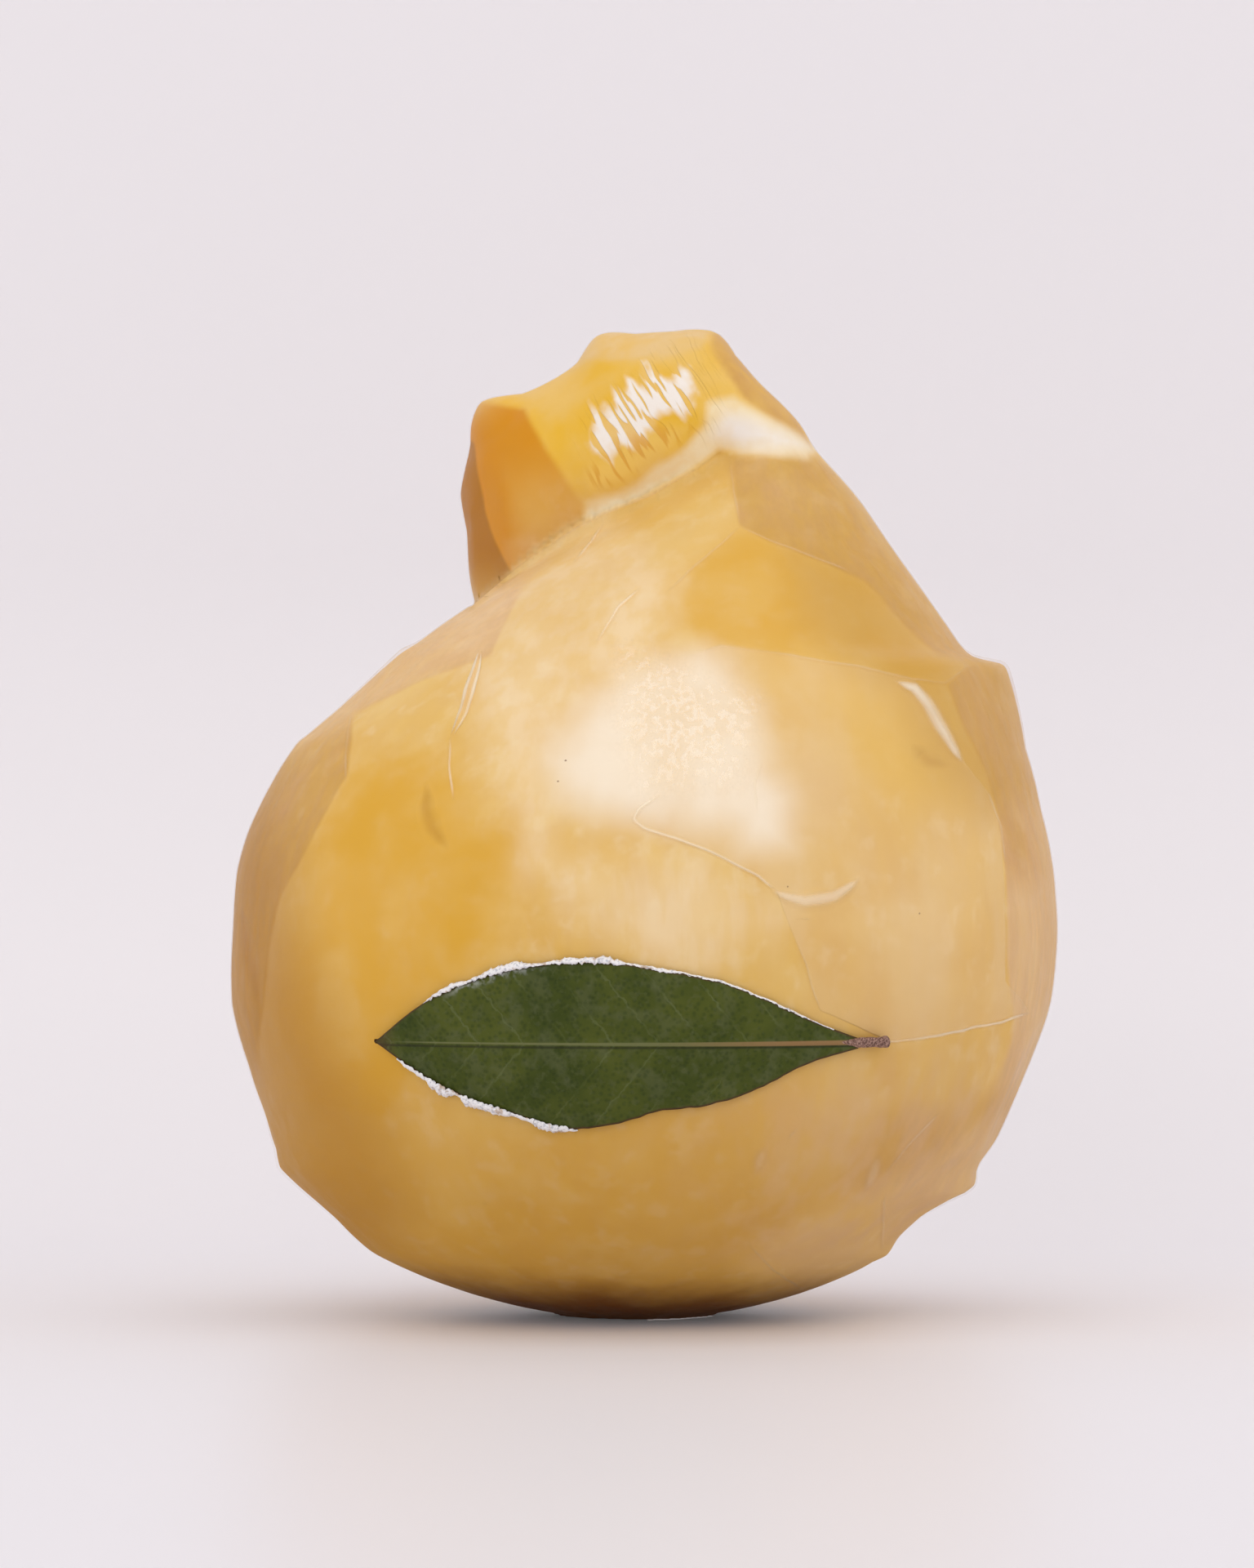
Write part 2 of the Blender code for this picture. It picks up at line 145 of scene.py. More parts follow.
def select_edges(obj, chosen):
    """Leaves edit mode with only the edges selected whose two ends both pass the test."""
    bpy.ops.object.mode_set(mode="EDIT")
    bpy.ops.mesh.select_mode(type="EDGE")
    bpy.ops.mesh.select_all(action="DESELECT")
    bpy.ops.object.mode_set(mode="OBJECT")
    for edge in obj.data.edges:
        edge.select = all(chosen(obj.data.vertices[i].co) for i in edge.vertices)


sweep = flat_sheet("sweep", SWEEP_FRONT, SWEEP_BACK, 0)
select_edges(sweep, lambda co: co.y > SWEEP_BACK - NEAR)
bpy.ops.object.mode_set(mode="EDIT")
bpy.ops.mesh.extrude_region_move(TRANSFORM_OT_translate={"value": (0, 0, SWEEP_HEIGHT)})
select_edges(sweep, lambda co: co.y > SWEEP_BACK - NEAR and co.z < NEAR)
bpy.ops.object.mode_set(mode="EDIT")
bpy.ops.mesh.bevel(offset=SWEEP_RADIUS, segments=24, affect="EDGES")
bpy.ops.object.mode_set(mode="OBJECT")
bpy.ops.object.shade_smooth()

wall_foot = SWEEP_BACK - SWEEP_RADIUS
floor_behind = flat_sheet("floor_behind", wall_foot, wall_foot + BEHIND_DEPTH, -BEHIND_DROP)
tell(sweep, "paper sweep")

# %% [markdown]
# The paper is pale and a little shiny. A real room throws light back into its shade from all over, and
# a faint glow of its own stands in for that. The paper's back is see-through: the Backfacing output is
# 1 there and mixes the paper with a transparent shader, so the wall hides nothing when the cheese is
# looked at from behind.

# %% One-way paper
paper = bpy.data.materials.new("pale_table")
paper.use_nodes = True
paper_nodes, paper_links = paper.node_tree.nodes, paper.node_tree.links
paper_shader = paper_nodes["Principled BSDF"]
paper_shader.inputs["Base Color"].default_value = (0.820, 0.790, 0.818, 1)
paper_shader.inputs["Emission Color"].default_value = (0.85, 0.95, 1.0, 1)
paper_shader.inputs["Emission Strength"].default_value = 0.055
paper_shader.inputs["Roughness"].default_value = 0.40
paper_shader.inputs["Specular IOR Level"].default_value = 0.30
see_through = paper_nodes.new("ShaderNodeBsdfTransparent")
which_side = paper_nodes.new("ShaderNodeNewGeometry")
one_way = paper_nodes.new("ShaderNodeMixShader")
paper_links.new(which_side.outputs["Backfacing"], one_way.inputs["Fac"])
paper_links.new(paper_shader.outputs["BSDF"], one_way.inputs[1])
paper_links.new(see_through.outputs["BSDF"], one_way.inputs[2])
paper_links.new(one_way.outputs["Shader"], paper_nodes["Material Output"].inputs["Surface"])
for sheet in (sweep, floor_behind):
    sheet.data.materials.append(paper)
print("paper on both sheets")

# %% [markdown]
# The light is plain and soft: one large softbox overhead, which leaves the underside in shade, a narrow
# wash that keeps the paper behind the cheese as pale as the floor, a weak fill from the front, two
# cards that lift the shadow under the belly, and pale surroundings. Large lamps give soft shadows.

# %% Lights
LAMP_COLOUR = (1.0, 0.985, 0.965)
ROOM_COLOUR = (1.0, 0.965, 0.985, 1)
ROOM_STRENGTH = 0.50
# name, place, the point it is aimed at, width and height in metres, watts, and its beam in degrees
LAMPS = (
    ("overhead", (0.08, -0.40, 0.82), (0.0, 0.0, 0.08), 1.30, 1.10, 3.55, 180.0),
    ("paper_wash", (0.0, 0.02, 1.15), (0.0, 0.27, 0.22), 0.9, 0.12, 0.12, 70.0),
    ("front_fill", (-0.35, -1.15, 0.50), (0.0, 0.0, 0.07), 0.8, 0.6, 1.6, 180.0),
    ("card_left", (-0.65, -0.15, 0.16), (0.0, 0.0, 0.01), 0.6, 0.3, 0.50, 180.0),
    ("card_right", (0.65, -0.15, 0.16), (0.0, 0.0, 0.01), 0.6, 0.3, 0.50, 180.0),
)

for name, place, aim, width, height, watts, beam in LAMPS:
    light = bpy.data.lights.new(name, "AREA")
    light.shape = "RECTANGLE"
    light.size, light.size_y = width, height
    light.energy = watts
    light.color = LAMP_COLOUR
    light.spread = math.radians(beam)
    lamp = bpy.data.objects.new(name, light)
    lamp.location = place
    lamp.rotation_euler = (Vector(aim) - Vector(place)).to_track_quat("-Z", "Y").to_euler()
    bpy.context.scene.collection.objects.link(lamp)

room = bpy.data.worlds.new("pale_room")
bpy.context.scene.world = room
room.use_nodes = True
room.node_tree.nodes["Background"].inputs["Color"].default_value = ROOM_COLOUR
room.node_tree.nodes["Background"].inputs["Strength"].default_value = ROOM_STRENGTH
bpy.context.scene.view_settings.view_transform = "Standard"
print(len(LAMPS), "lamps and a pale room")

# %% [markdown]
# ## One skin for the cheese and its film
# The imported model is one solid, cheese and film together, made of large flat triangles. A voxel remesh
# draws an even skin of small squares over a copy of it, and smoothing rounds the flats away. The foot
# stays a true flat spot. This skin becomes the film, and a second one just under it the cheese.

# %% Even skin
SKIN_GRAIN = 0.8 * MM
SMOOTH_STEPS = 12
WELD = 0.01 * MM
FOOT = 0.3 * MM  # all that is lower lies flat on the table

film = bpy.data.objects.new("clear_film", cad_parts["provola"].data.copy())
bpy.context.scene.collection.objects.link(film)
film.data.materials.clear()
only(film)
bpy.ops.object.mode_set(mode="EDIT")
bpy.ops.mesh.select_all(action="SELECT")
bpy.ops.mesh.remove_doubles(threshold=WELD)
bpy.ops.object.mode_set(mode="OBJECT")
apply_modifier(film, "REMESH", mode="VOXEL", voxel_size=SKIN_GRAIN)
apply_modifier(film, "SMOOTH", factor=0.5, iterations=SMOOTH_STEPS)
for v in film.data.vertices:
    v.co.z = 0.0 if v.co.z < FOOT else v.co.z
tell(film, "even skin")


# %% [markdown]
# ## A map of the film
# Tight film makes straight creases, and where it lies double it looks paler, with a crisp edge. Such
# lines are drawn here as seen from the front, in millimetres to the right and up, because that is how
# a maker would mark them on the cheese. The sides and the back use the same kind of map wrapped round
# the belly: distance along the skin, and height.


# %% Two ways to unroll the skin
WRAP_RADIUS = 58.0
FRONT_BLEND = (-6.0, 8.0)  # y, in mm, between which the front's map gives way to the wrapped one
FAR = 1e9


def points_of(obj):
    """The object's points as rows of millimetres."""
    flat = np.empty(len(obj.data.vertices) * 3)
    obj.data.vertices.foreach_get("co", flat)
    return flat.reshape(-1, 3) / MM


def move_points(obj, points):
    """Puts the object's points at these rows of millimetres."""
    obj.data.vertices.foreach_set("co", (points * MM).astype(np.float32).ravel())
    obj.data.update()


def from_front(points):
    """Each point as the camera's side sees it: millimetres to the right and up."""
    near = EYE_DISTANCE / MM / (EYE_DISTANCE / MM + points[:, 1])
    across = EYE_X / MM + (points[:, 0] - EYE_X / MM) * near
    up = EYE_HEIGHT / MM + (points[:, 2] - EYE_HEIGHT / MM) * near
    return np.column_stack((across, up))


def wrapped(points):
    """Each point as distance round the belly from the middle of the back, and height."""
    azimuth = np.arctan2(points[:, 1], points[:, 0]) - math.pi / 2
    azimuth = (azimuth + math.pi) % (2 * math.pi) - math.pi
    return np.column_stack((azimuth * WRAP_RADIUS, points[:, 2]))


def step(low, high, values):
    """A smooth step from 0 at low to 1 at high, where high may be the smaller number."""
    t = np.clip((values - low) / (high - low), 0.0, 1.0)
    return t * t * (3 - 2 * t)


print("two maps: from the front, and wrapped at", WRAP_RADIUS, "mm")


# %% [markdown]
# For a crisp edge on a mesh with coarse points, each point stores how far it lies from the edge, with
# a minus sign on one side. Between points that number changes evenly, so a material that cuts at zero
# draws a sharp line wherever it likes, much finer than the mesh.


# %% Distances to lines and patches
def to_segments(places, line):
    """For each place: signed distance to a line of points, share along it, and the way from it."""
    best = np.full(len(places), FAR)
    side = np.ones(len(places))
    along = np.zeros(len(places))
    away = np.zeros((len(places), 2))
    line = np.asarray(line, float)
    lengths = np.linalg.norm(np.diff(line, axis=0), axis=1)
    start = 0.0
    for a, b, length in zip(line, line[1:], lengths):
        way = (b - a) / length
        rel = places - a
        t = np.clip(rel @ way, 0, length)
        gap = rel - np.outer(t, way)
        distance = np.hypot(gap[:, 0], gap[:, 1])
        near = distance < best
        best = np.where(near, distance, best)
        side = np.where(near, np.sign(way[0] * rel[:, 1] - way[1] * rel[:, 0]), side)
        along = np.where(near, (start + t) / lengths.sum(), along)
        away = np.where(near[:, None], gap, away)
        start += length
    return best * np.where(side == 0, 1, side), along, away


def to_patch(places, corners):
    """Distance to the edge of a patch, positive inside it."""
    closed = list(corners) + [corners[0]]
    distance = np.abs(to_segments(places, closed)[0])
    inside = np.zeros(len(places), bool)
    for (x0, y0), (x1, y1) in zip(closed, closed[1:]):
        crosses = (y0 > places[:, 1]) != (y1 > places[:, 1])
        if y0 != y1:
            inside ^= crosses & (places[:, 0] < (x1 - x0) * (places[:, 1] - y0) / (y1 - y0) + x0)
    return np.where(inside, distance, -distance)


print("distance helpers ready")


# %% [markdown]
# The head is folded down behind the shoulder, so the shoulder's rim covers its foot. On the even skin
# that fold is only a soft dip. Points close to the rim are first moved onto it, and those just above
# it are then pushed back, which leaves a sharp rim with a deep crease behind.

# %% Shoulder rim
SHOULDER_RIM = (
    (-25.6, 104.6), (-20.4, 109.0), (-15.6, 112.6), (-10.2, 116.1), (-6.0, 118.0), (-2.9, 119.2),
    (0.7, 120.7), (4.3, 122.8), (7.9, 125.0), (10.9, 127.1),
)
FOLD_DEPTH = 2.4  # how deep the crease behind the rim is, in mm
FOLD_REACH = 2.2  # and how far above the rim it fades, in mm
FOLD_ENDS = (0.70, 0.98)  # the crease runs out between these shares of the rim
SNAP_REACH = 0.504  # points this close to the rim move onto it, in mm
HEAD_FRONT, HEAD_FOOT = 24.0, 98.0  # the fold's points lie nearer and higher than this, in mm


def sharpen_fold(points):
    """Snaps the rim into a line and sinks the crease behind it."""
    near_head = (points[:, 1] < HEAD_FRONT) & (points[:, 2] > HEAD_FOOT)
    distance, along, away = to_segments(from_front(points), SHOULDER_RIM)
    snap = near_head & (np.abs(distance) < SNAP_REACH)
    points[snap, 0] -= away[snap, 0]
    points[snap, 2] -= away[snap, 1]
    above = np.where(snap, 0.0, distance)
    strength = near_head * (1 - step(*FOLD_ENDS, along))
    sunk = FOLD_DEPTH * np.exp(-above / FOLD_REACH) * (above > 0)
    points[:, 1] += sunk * strength
    return points


print("rim of", len(SHOULDER_RIM), "points")

# %% [markdown]
# Where the film stands off, it ends in small sharp corners. They are drawn out in two ways. Round the
# belly each one is a place, by its turn round the cheese and its height, with a reach above and below.
# On the head, which looks like the end of a parcel, each one is a point in space and a way to pull it.

# %% Corners of film
# turn in degrees, height, stand-out, spread in degrees, reach above and below, in mm
SHARP_CORNERS = (
    (-3.0, 96.4, 2.6, 15.0, 0.8, 13.0),
    (-4.0, 18.3, 0.9, 18.0, 3.0, 0.9),
    (-16.0, 9.2, 0.7, 16.0, 2.0, 1.0),
    (177.0, 21.4, 0.9, 16.0, 3.0, 5.0),
    (-170.0, 84.6, 0.7, 10.0, 1.2, 6.0),
    (-166.0, 98.2, 0.9, 10.0, 1.0, 7.0),
    (84.0, 90.0, 1.2, 16.0, 0.9, 12.0),
    (52.0, 22.0, 1.0, 14.0, 5.0, 1.0),
    (118.0, 14.0, 1.0, 15.0, 4.0, 1.0),
)
# middle of the pull, its direction, its reach and how far it goes, in mm
HEAD_CORNERS = (
    ((-23.8, 14.0, 134.6), (-0.7, 0.0, 0.7), 6.0, 2.0),
    ((-5.6, 10.0, 143.0), (-0.6, 0.0, 0.8), 5.0, 1.7),
    ((9.5, 6.0, 144.5), (0.75, 0.0, 0.60), 5.5, 1.7),
    ((-27.5, 18.0, 122.0), (-1.0, 0.0, 0.0), 6.0, 0.9),
    ((-6.0, 26.0, 138.0), (0.0, 0.8, 0.6), 8.0, 1.2),
    ((-22.0, 32.0, 124.0), (-0.5, 0.8, 0.0), 8.0, 1.2),
)
CORNER_SHAPE = (1.0, 0.45, 1.0)  # a pull reaches farther from front to back than it does sideways


def pull_corners(points):
    """Draws the film of the head out to a few points, like the corners of a parcel."""
    for middle, way, reach, pull in HEAD_CORNERS:
        distance = np.linalg.norm((points - middle) * CORNER_SHAPE, axis=1)
        points += np.array(way) * (pull * np.clip(1 - distance / reach, 0, 1))[:, None]
    return points


def spots(points, table):
    """For each row of a table of places round the belly: how far off each point is, from -1 to 1
    round the cheese, and from 0 to 1 up and down, and the row's depth."""
    turn = np.degrees(np.arctan2(points[:, 1], points[:, 0]))
    for middle, height, depth, spread, above, below in table:
        aside = ((turn - middle + 180.0) % 360.0 - 180.0) / spread
        rise = points[:, 2] - height
        fall = np.where(rise > 0, rise / above, -rise / below)
        yield aside, np.clip(1 - fall, 0, 1), depth


def draw_out_corners(points):
    """Moves the skin out to the small sharp corners of the film."""
    out = np.zeros(len(points))
    for aside, upright, stand in spots(points, SHARP_CORNERS):
        out = np.maximum(out, stand * np.clip(1 - np.abs(aside), 0, 1) * upright)
    side = points * (1.0, 1.0, 0.0)
    side /= np.linalg.norm(side, axis=1)[:, None] + 1e-6
    return points + side * out[:, None]


skin = draw_out_corners(sharpen_fold(pull_corners(points_of(film))))
move_points(film, skin)
print("sharp rim and", len(SHARP_CORNERS) + len(HEAD_CORNERS), "corners")

# %% [markdown]
# Nothing on a wrapped cheese is ruled with a straightedge. Before any distance is taken, both maps are
# pushed about a little by smooth noise, so that every line and patch edge wanders like the real ones.

# %% Wandering maps
WANDER = ((14.0, 0.55), (3.5, 0.16))  # size of the wander and how far it goes, in mm
WANDER_SEED = 5  # vector noise is shifted by a random draw, so it is seeded to wander alike each time

noise.seed_set(WANDER_SEED)
drift = np.zeros((len(skin), 3))
for size, reach in WANDER:
    drift += reach * np.array([noise.noise_vector(Vector(p) / size) for p in skin])
front_map = from_front(skin) + drift[:, [0, 2]]
back_map = wrapped(skin) + drift[:, [0, 2]]
behind = step(*FRONT_BLEND, skin[:, 1])


def paint(name, values):
    """Stores one number for each point of the skin under a name that a material can read."""
    layer = film.data.attributes.new(name, "FLOAT", "POINT")
    layer.data.foreach_set("value", values.astype(np.float32))


print("map of", len(skin), "points")

# %% [markdown]
# The film is drawn as patches, each a ring of corners. Haze is slightly grey and pink, as film is where
# it lies double or stands off the cheese. The sides and the back have patches on the wrapped map.

# %% Haze
EDGE_REACH = 7.0  # distances are kept up to here, in mm
HAZE_FRONT = (
    ((-15.6, 112.0), (-22.8, 97.6), (-32.4, 93.9), (-43.0, 88.9), (-49.3, 89.1), (-34.9, 102.4),
     (-25.2, 110.6)),
    ((-43.0, 88.9), (-43.9, 79.5), (-48.1, 72.9), (-51.7, 66.2), (-53.9, 61.4), (-55.3, 55.4),
     (-56.5, 44.6), (-57.5, 33.7), (-65.0, 33.7), (-66.2, 73.5), (-58.9, 85.5), (-49.3, 92.7)),
    ((12.5, 126.4), (14.0, 116.5), (18.1, 114.2), (25.4, 111.4), (32.8, 108.2), (38.6, 101.8), (43.4, 97.6),
     (48.5, 96.5), (54.3, 100.0), (37.4, 126.5), (23.6, 127.1)),
    ((48.5, 96.5), (45.0, 93.0), (47.0, 86.7), (50.4, 79.7), (52.3, 73.5), (53.1, 66.2), (53.4, 54.2),
     (54.5, 43.4), (52.6, 33.7), (49.4, 25.3), (60.3, 22.9), (68.7, 61.4), (61.5, 92.7)),
    ((36.4, 28.7), (43.4, 29.4), (53.1, 26.5), (49.4, 15.7), (39.8, 10.8), (35.2, 9.4), (34.8, 15.7),
     (32.8, 19.5)),
    ((16.2, 9.6), (19.3, 6.6), (23.7, 3.5), (32.6, 6.0), (35.2, 9.2), (29.0, 13.2), (20.5, 12.6)),
)
HAZE_BACK = (
    ((-100.0, 96.0), (-84.0, 92.0), (-78.0, 70.0), (-80.0, 44.0), (-74.0, 26.0), (-100.0, 20.0)),
    ((100.0, 90.0), (82.0, 84.0), (76.0, 62.0), (79.0, 40.0), (84.0, 30.0), (104.0, 28.0)),
    ((-30.0, 92.0), (6.0, 96.0), (34.0, 84.0), (22.0, 60.0), (-8.0, 52.0), (-34.0, 66.0)),
    ((40.0, 40.0), (58.0, 34.0), (52.0, 14.0), (30.0, 10.0), (24.0, 26.0)),
    ((-62.0, 36.0), (-40.0, 30.0), (-36.0, 12.0), (-60.0, 10.0), (-72.0, 22.0)),
)


def patch_distance(front, back):
    """Distance to the nearest patch edge over the whole skin, positive inside a patch."""
    seen = np.max([to_patch(front_map, ring) for ring in front], axis=0)
    hidden = np.max([to_patch(back_map, ring) for ring in back], axis=0)
    return np.clip(seen * (1 - behind) + hidden * behind, -EDGE_REACH, EDGE_REACH)


turned_away = step(-22.0, 6.0, skin[:, 1])
low = step(40.0, 24.0, front_map[:, 1]) * (1 - behind)
haze_edge = patch_distance(HAZE_FRONT, HAZE_BACK)
paint("haze_edge", haze_edge)
paint("haze_blur", np.maximum(0.35 + 6.0 * low, 0.35 + 3.4 * turned_away))
paint("haze_depth", 1 - 0.55 * turned_away)
print(f"haze on {np.mean(haze_edge > 0):.0%} of the skin")

# %% [markdown]
# The pale patch is film that has stretched milky over the right of the belly. The amber patches are the
# opposite: there the film is clear and the smoked curd glows through. A patch is crisp where a crease
# bounds it and melts away elsewhere, so the width of its edge is a number of its own on every point.

# %% Pale and amber patches
PALE_FRONT = (
    ((8.3, 97.9), (11.5, 98.9), (19.3, 97.6), (31.4, 96.0), (40.1, 93.7), (42.2, 90.3), (46.6, 82.4),
     (50.9, 76.5), (52.5, 72.3), (52.9, 61.4), (53.3, 49.4), (56.7, 44.6), (47.0, 41.9), (35.7, 40.6),
     (25.7, 45.0), (23.6, 51.8), (20.5, 59.6), (19.6, 62.3), (16.9, 64.4), (9.7, 68.4), (4.9, 70.5),
     (0.1, 72.1), (-1.5, 73.1), (-6.0, 73.1), (-10.8, 76.1), (-14.0, 84.7), (-8.0, 93.1)),
)
PALE_BACK = (
    ((-70.0, 70.0), (-36.0, 64.0), (-10.0, 50.0), (-18.0, 26.0), (-48.0, 32.0), (-72.0, 44.0)),
    ((28.0, 78.0), (60.0, 84.0), (74.0, 64.0), (60.0, 42.0), (34.0, 48.0)),
)
AMBER_FRONT = (
    ((-29.4, 84.7), (-34.9, 83.0), (-42.4, 81.2), (-44.0, 78.8), (-48.1, 72.5), (-51.7, 66.2),
     (-53.6, 61.4), (-55.1, 54.2), (-54.8, 44.6), (-50.0, 31.0), (-38.0, 29.0), (-32.0, 40.0),
     (-20.0, 58.2), (-20.0, 70.3), (-28.1, 75.9)),
    ((14.0, 116.2), (7.3, 110.8), (4.9, 104.8), (8.3, 97.9), (11.5, 98.9), (19.3, 97.6), (31.4, 96.0),
     (40.1, 93.7), (48.5, 96.5), (43.4, 97.6), (38.6, 101.8), (32.8, 108.2), (25.4, 111.4), (18.1, 114.2)),
)
AMBER_BACK = (
    ((-24.0, 108.0), (20.0, 110.0), (34.0, 92.0), (6.0, 98.0), (-30.0, 93.0)),
    ((-6.0, 50.0), (22.0, 58.0), (34.0, 46.0), (26.0, 28.0), (-2.0, 30.0)),
)

pale_edge = patch_distance(PALE_FRONT, PALE_BACK)
amber_edge = patch_distance(AMBER_FRONT, AMBER_BACK)
on_left, on_right = step(-27.0, -33.0, front_map[:, 0]), step(2.0, 8.0, front_map[:, 0])
crisp = 0.45 * np.maximum(on_left, on_right) * (1 - behind)
paint("pale_edge", pale_edge)
paint("pale_blur", 0.15 + 6.5 * (1 - step(-8.0, 10.0, front_map[:, 0])) * (1 - behind) + 2.4 * behind)
paint("amber", step(-6.5, 5.5, amber_edge) * (1 - crisp) + step(-0.5, 0.9, amber_edge) * crisp)
print(f"pale on {np.mean(pale_edge > 0):.0%}, amber on {np.mean(amber_edge > 0):.0%} of the skin")

# %% [markdown]
# Light and shade are painted here too. A bloom of milky film lies high on the belly with a painted
# highlight in it, finely crackled into painted glints in the middle, and the curd round it is painted
# paler, as painted light. Some of the haze is painted lit and some painted in shade, and one place under
# the neck keeps its gold. These patches are all soft, each with a start and a whole.

# %% Lit and shaded places
BLOOM_HIGHLIGHT = ((-8.8, 90.3), (-2.1, 95.6), (9.0, 98.5), (12.8, 95.6), (18.1, 89.4), (18.6, 80.7), (21.9, 76.9),
         (22.0, 68.7), (14.8, 67.7), (12.8, 71.1), (2.2, 72.0), (-6.9, 73.0), (-13.2, 75.9), (-14.6, 81.7))
CRACKLED_GLINTS = ((-2.6, 97.6), (15.7, 90.3), (13.3, 79.2), (0.3, 78.3), (-2.7, 87.9))
CREAMY_LIT = ((-27.0, 103.0), (-16.0, 112.0), (-6.0, 117.0), (4.0, 108.0), (-2.0, 92.0), (-14.0, 80.0),
          (-19.0, 66.0), (-6.0, 66.0), (8.0, 66.0), (20.0, 58.0), (8.0, 50.0), (-9.0, 58.0), (-22.0, 84.0),
          (-26.0, 94.0))
GOLDEN = ((18.0, 95.5), (31.0, 94.5), (40.0, 92.5), (46.5, 84.0), (48.0, 76.0), (41.0, 76.0), (33.0, 81.0),
          (22.0, 87.0))
SHADED = ((22.0, 112.0), (33.0, 109.0), (44.0, 99.0), (54.0, 99.0), (56.0, 78.0), (50.0, 74.0),
          (43.0, 82.0), (38.0, 92.0), (30.0, 97.0), (24.0, 103.0))
SHADED_LEFT = ((-66.0, 84.0), (-57.0, 80.0), (-54.5, 60.0), (-51.5, 50.0), (-47.0, 38.0), (-41.0, 28.0),
               (-37.0, 16.0), (-44.0, 4.0), (-66.0, 20.0))
LIT_HAZE = (
    ((-10.0, 120.0), (-16.0, 106.0), (-22.0, 97.6), (-34.0, 92.0), (-52.0, 84.0), (-52.0, 98.0),
     (-24.0, 120.0)),
    ((49.0, 64.0), (60.0, 64.0), (60.0, 34.0), (50.0, 32.0), (48.0, 44.0)),
    ((13.0, 9.0), (24.0, 15.0), (36.0, 20.0), (52.0, 30.0), (60.0, 10.0), (30.0, -2.0), (16.0, -2.0)),
)
# the rings, and the distances from their edge at which the patch starts and is whole, in mm
SOFT_PATCHES = {
    "highlight_bloom": ((BLOOM_HIGHLIGHT,), -3.5, 5.0),
    "crackled_glints": ((CRACKLED_GLINTS,), -3.5, 4.0),
    "creamy_lit": ((CREAMY_LIT,), -6.0, 4.0),
    "golden": ((GOLDEN,), -6.0, 4.0),
    "shaded": ((SHADED,), -6.0, 4.0),
    "shaded_left": ((SHADED_LEFT,), -10.0, 5.0),
    "lit_haze": (LIT_HAZE, -3.0, 3.0),
}

for name, (rings, start, whole) in SOFT_PATCHES.items():
    edge = np.max([to_patch(front_map, ring) for ring in rings], axis=0)
    paint(name, step(start, whole, edge) * (1 - behind))
print("soft patches:", ", ".join(SOFT_PATCHES))

# %% [markdown]
# Creases come in seven kinds. A line is a thin raised thread, and a trace a fainter one. A pleat opens in
# its middle and closes at its ends, so that it catches the light on two edges. A ridge is broad and soft,
# a crest the same but brighter, and a dent sinks in and is painted darker, as shade. A flake is a flat
# pale spot. The paleness of a crease is partly the white of folded film and partly a painted highlight.
# For each point the nearest crease is found, and its distance, height and paleness are stored.

# %% Kinds of crease
# height and half width in mm, paleness, and whether it opens in its middle
KINDS = {
    "trace": (0.05, 0.32, 0.16, False),
    "line": (0.10, 0.36, 0.50, False),
    "pleat": (0.22, 0.72, 0.72, True),
    "ridge": (0.26, 1.10, 0.34, False),
    "crest": (0.24, 1.35, 0.66, False),
    "flake": (0.06, 1.50, 0.30, False),
    "dent": (-0.30, 1.30, -0.30, False),
}
TAPER = 2.0  # a thread runs out over this length at its ends, in mm
CREASE_FADE = (1.7, 2.8)  # a crease is forgotten between these distances, in mm
NO_CREASE = 9.0  # distance where there is none, in mm


def crease_layer(front, back):
    """Relative distance, height and paleness of the nearest crease, and if it opens, for each point."""
    distance = np.full(len(skin), NO_CREASE)
    height, width, pale = np.zeros(len(skin)), np.ones(len(skin)), np.zeros(len(skin))
    open_here = np.zeros(len(skin))
    for creases, places, here in ((front, front_map, behind < 0.5), (back, back_map, behind >= 0.5)):
        for kind, line in creases:
            rise, half_width_here, paleness, opens = KINDS[kind]
            gap, along, _ = to_segments(places, line)
            length = sum(math.dist(a, b) for a, b in zip(line, line[1:]))
            ends = np.clip(np.minimum(along, 1 - along) * length / TAPER, 0, 1)
            lens = 0.25 + 0.75 * np.sin(math.pi * along) ** 0.8 if opens or half_width_here > 1 else 1.0
            near = (np.abs(gap) < np.abs(distance)) & here
            fade = ends * (1 - step(*CREASE_FADE, np.abs(gap)))
            distance = np.where(near, gap, distance)
            width = np.where(near, half_width_here * lens, width)
            height = np.where(near, rise * fade, height)
            pale = np.where(near, paleness * fade, pale)
            open_here = np.where(near, float(opens), open_here)
    return np.clip(distance / width, -EDGE_REACH, EDGE_REACH), height, pale, open_here


print("kinds:", ", ".join(KINDS))

# %% [markdown]
# The creases themselves are short runs of points. Those that meet or cross are kept in two layers, so
# that a point never has to choose between them. The back, which has fewer, shares the first layer.

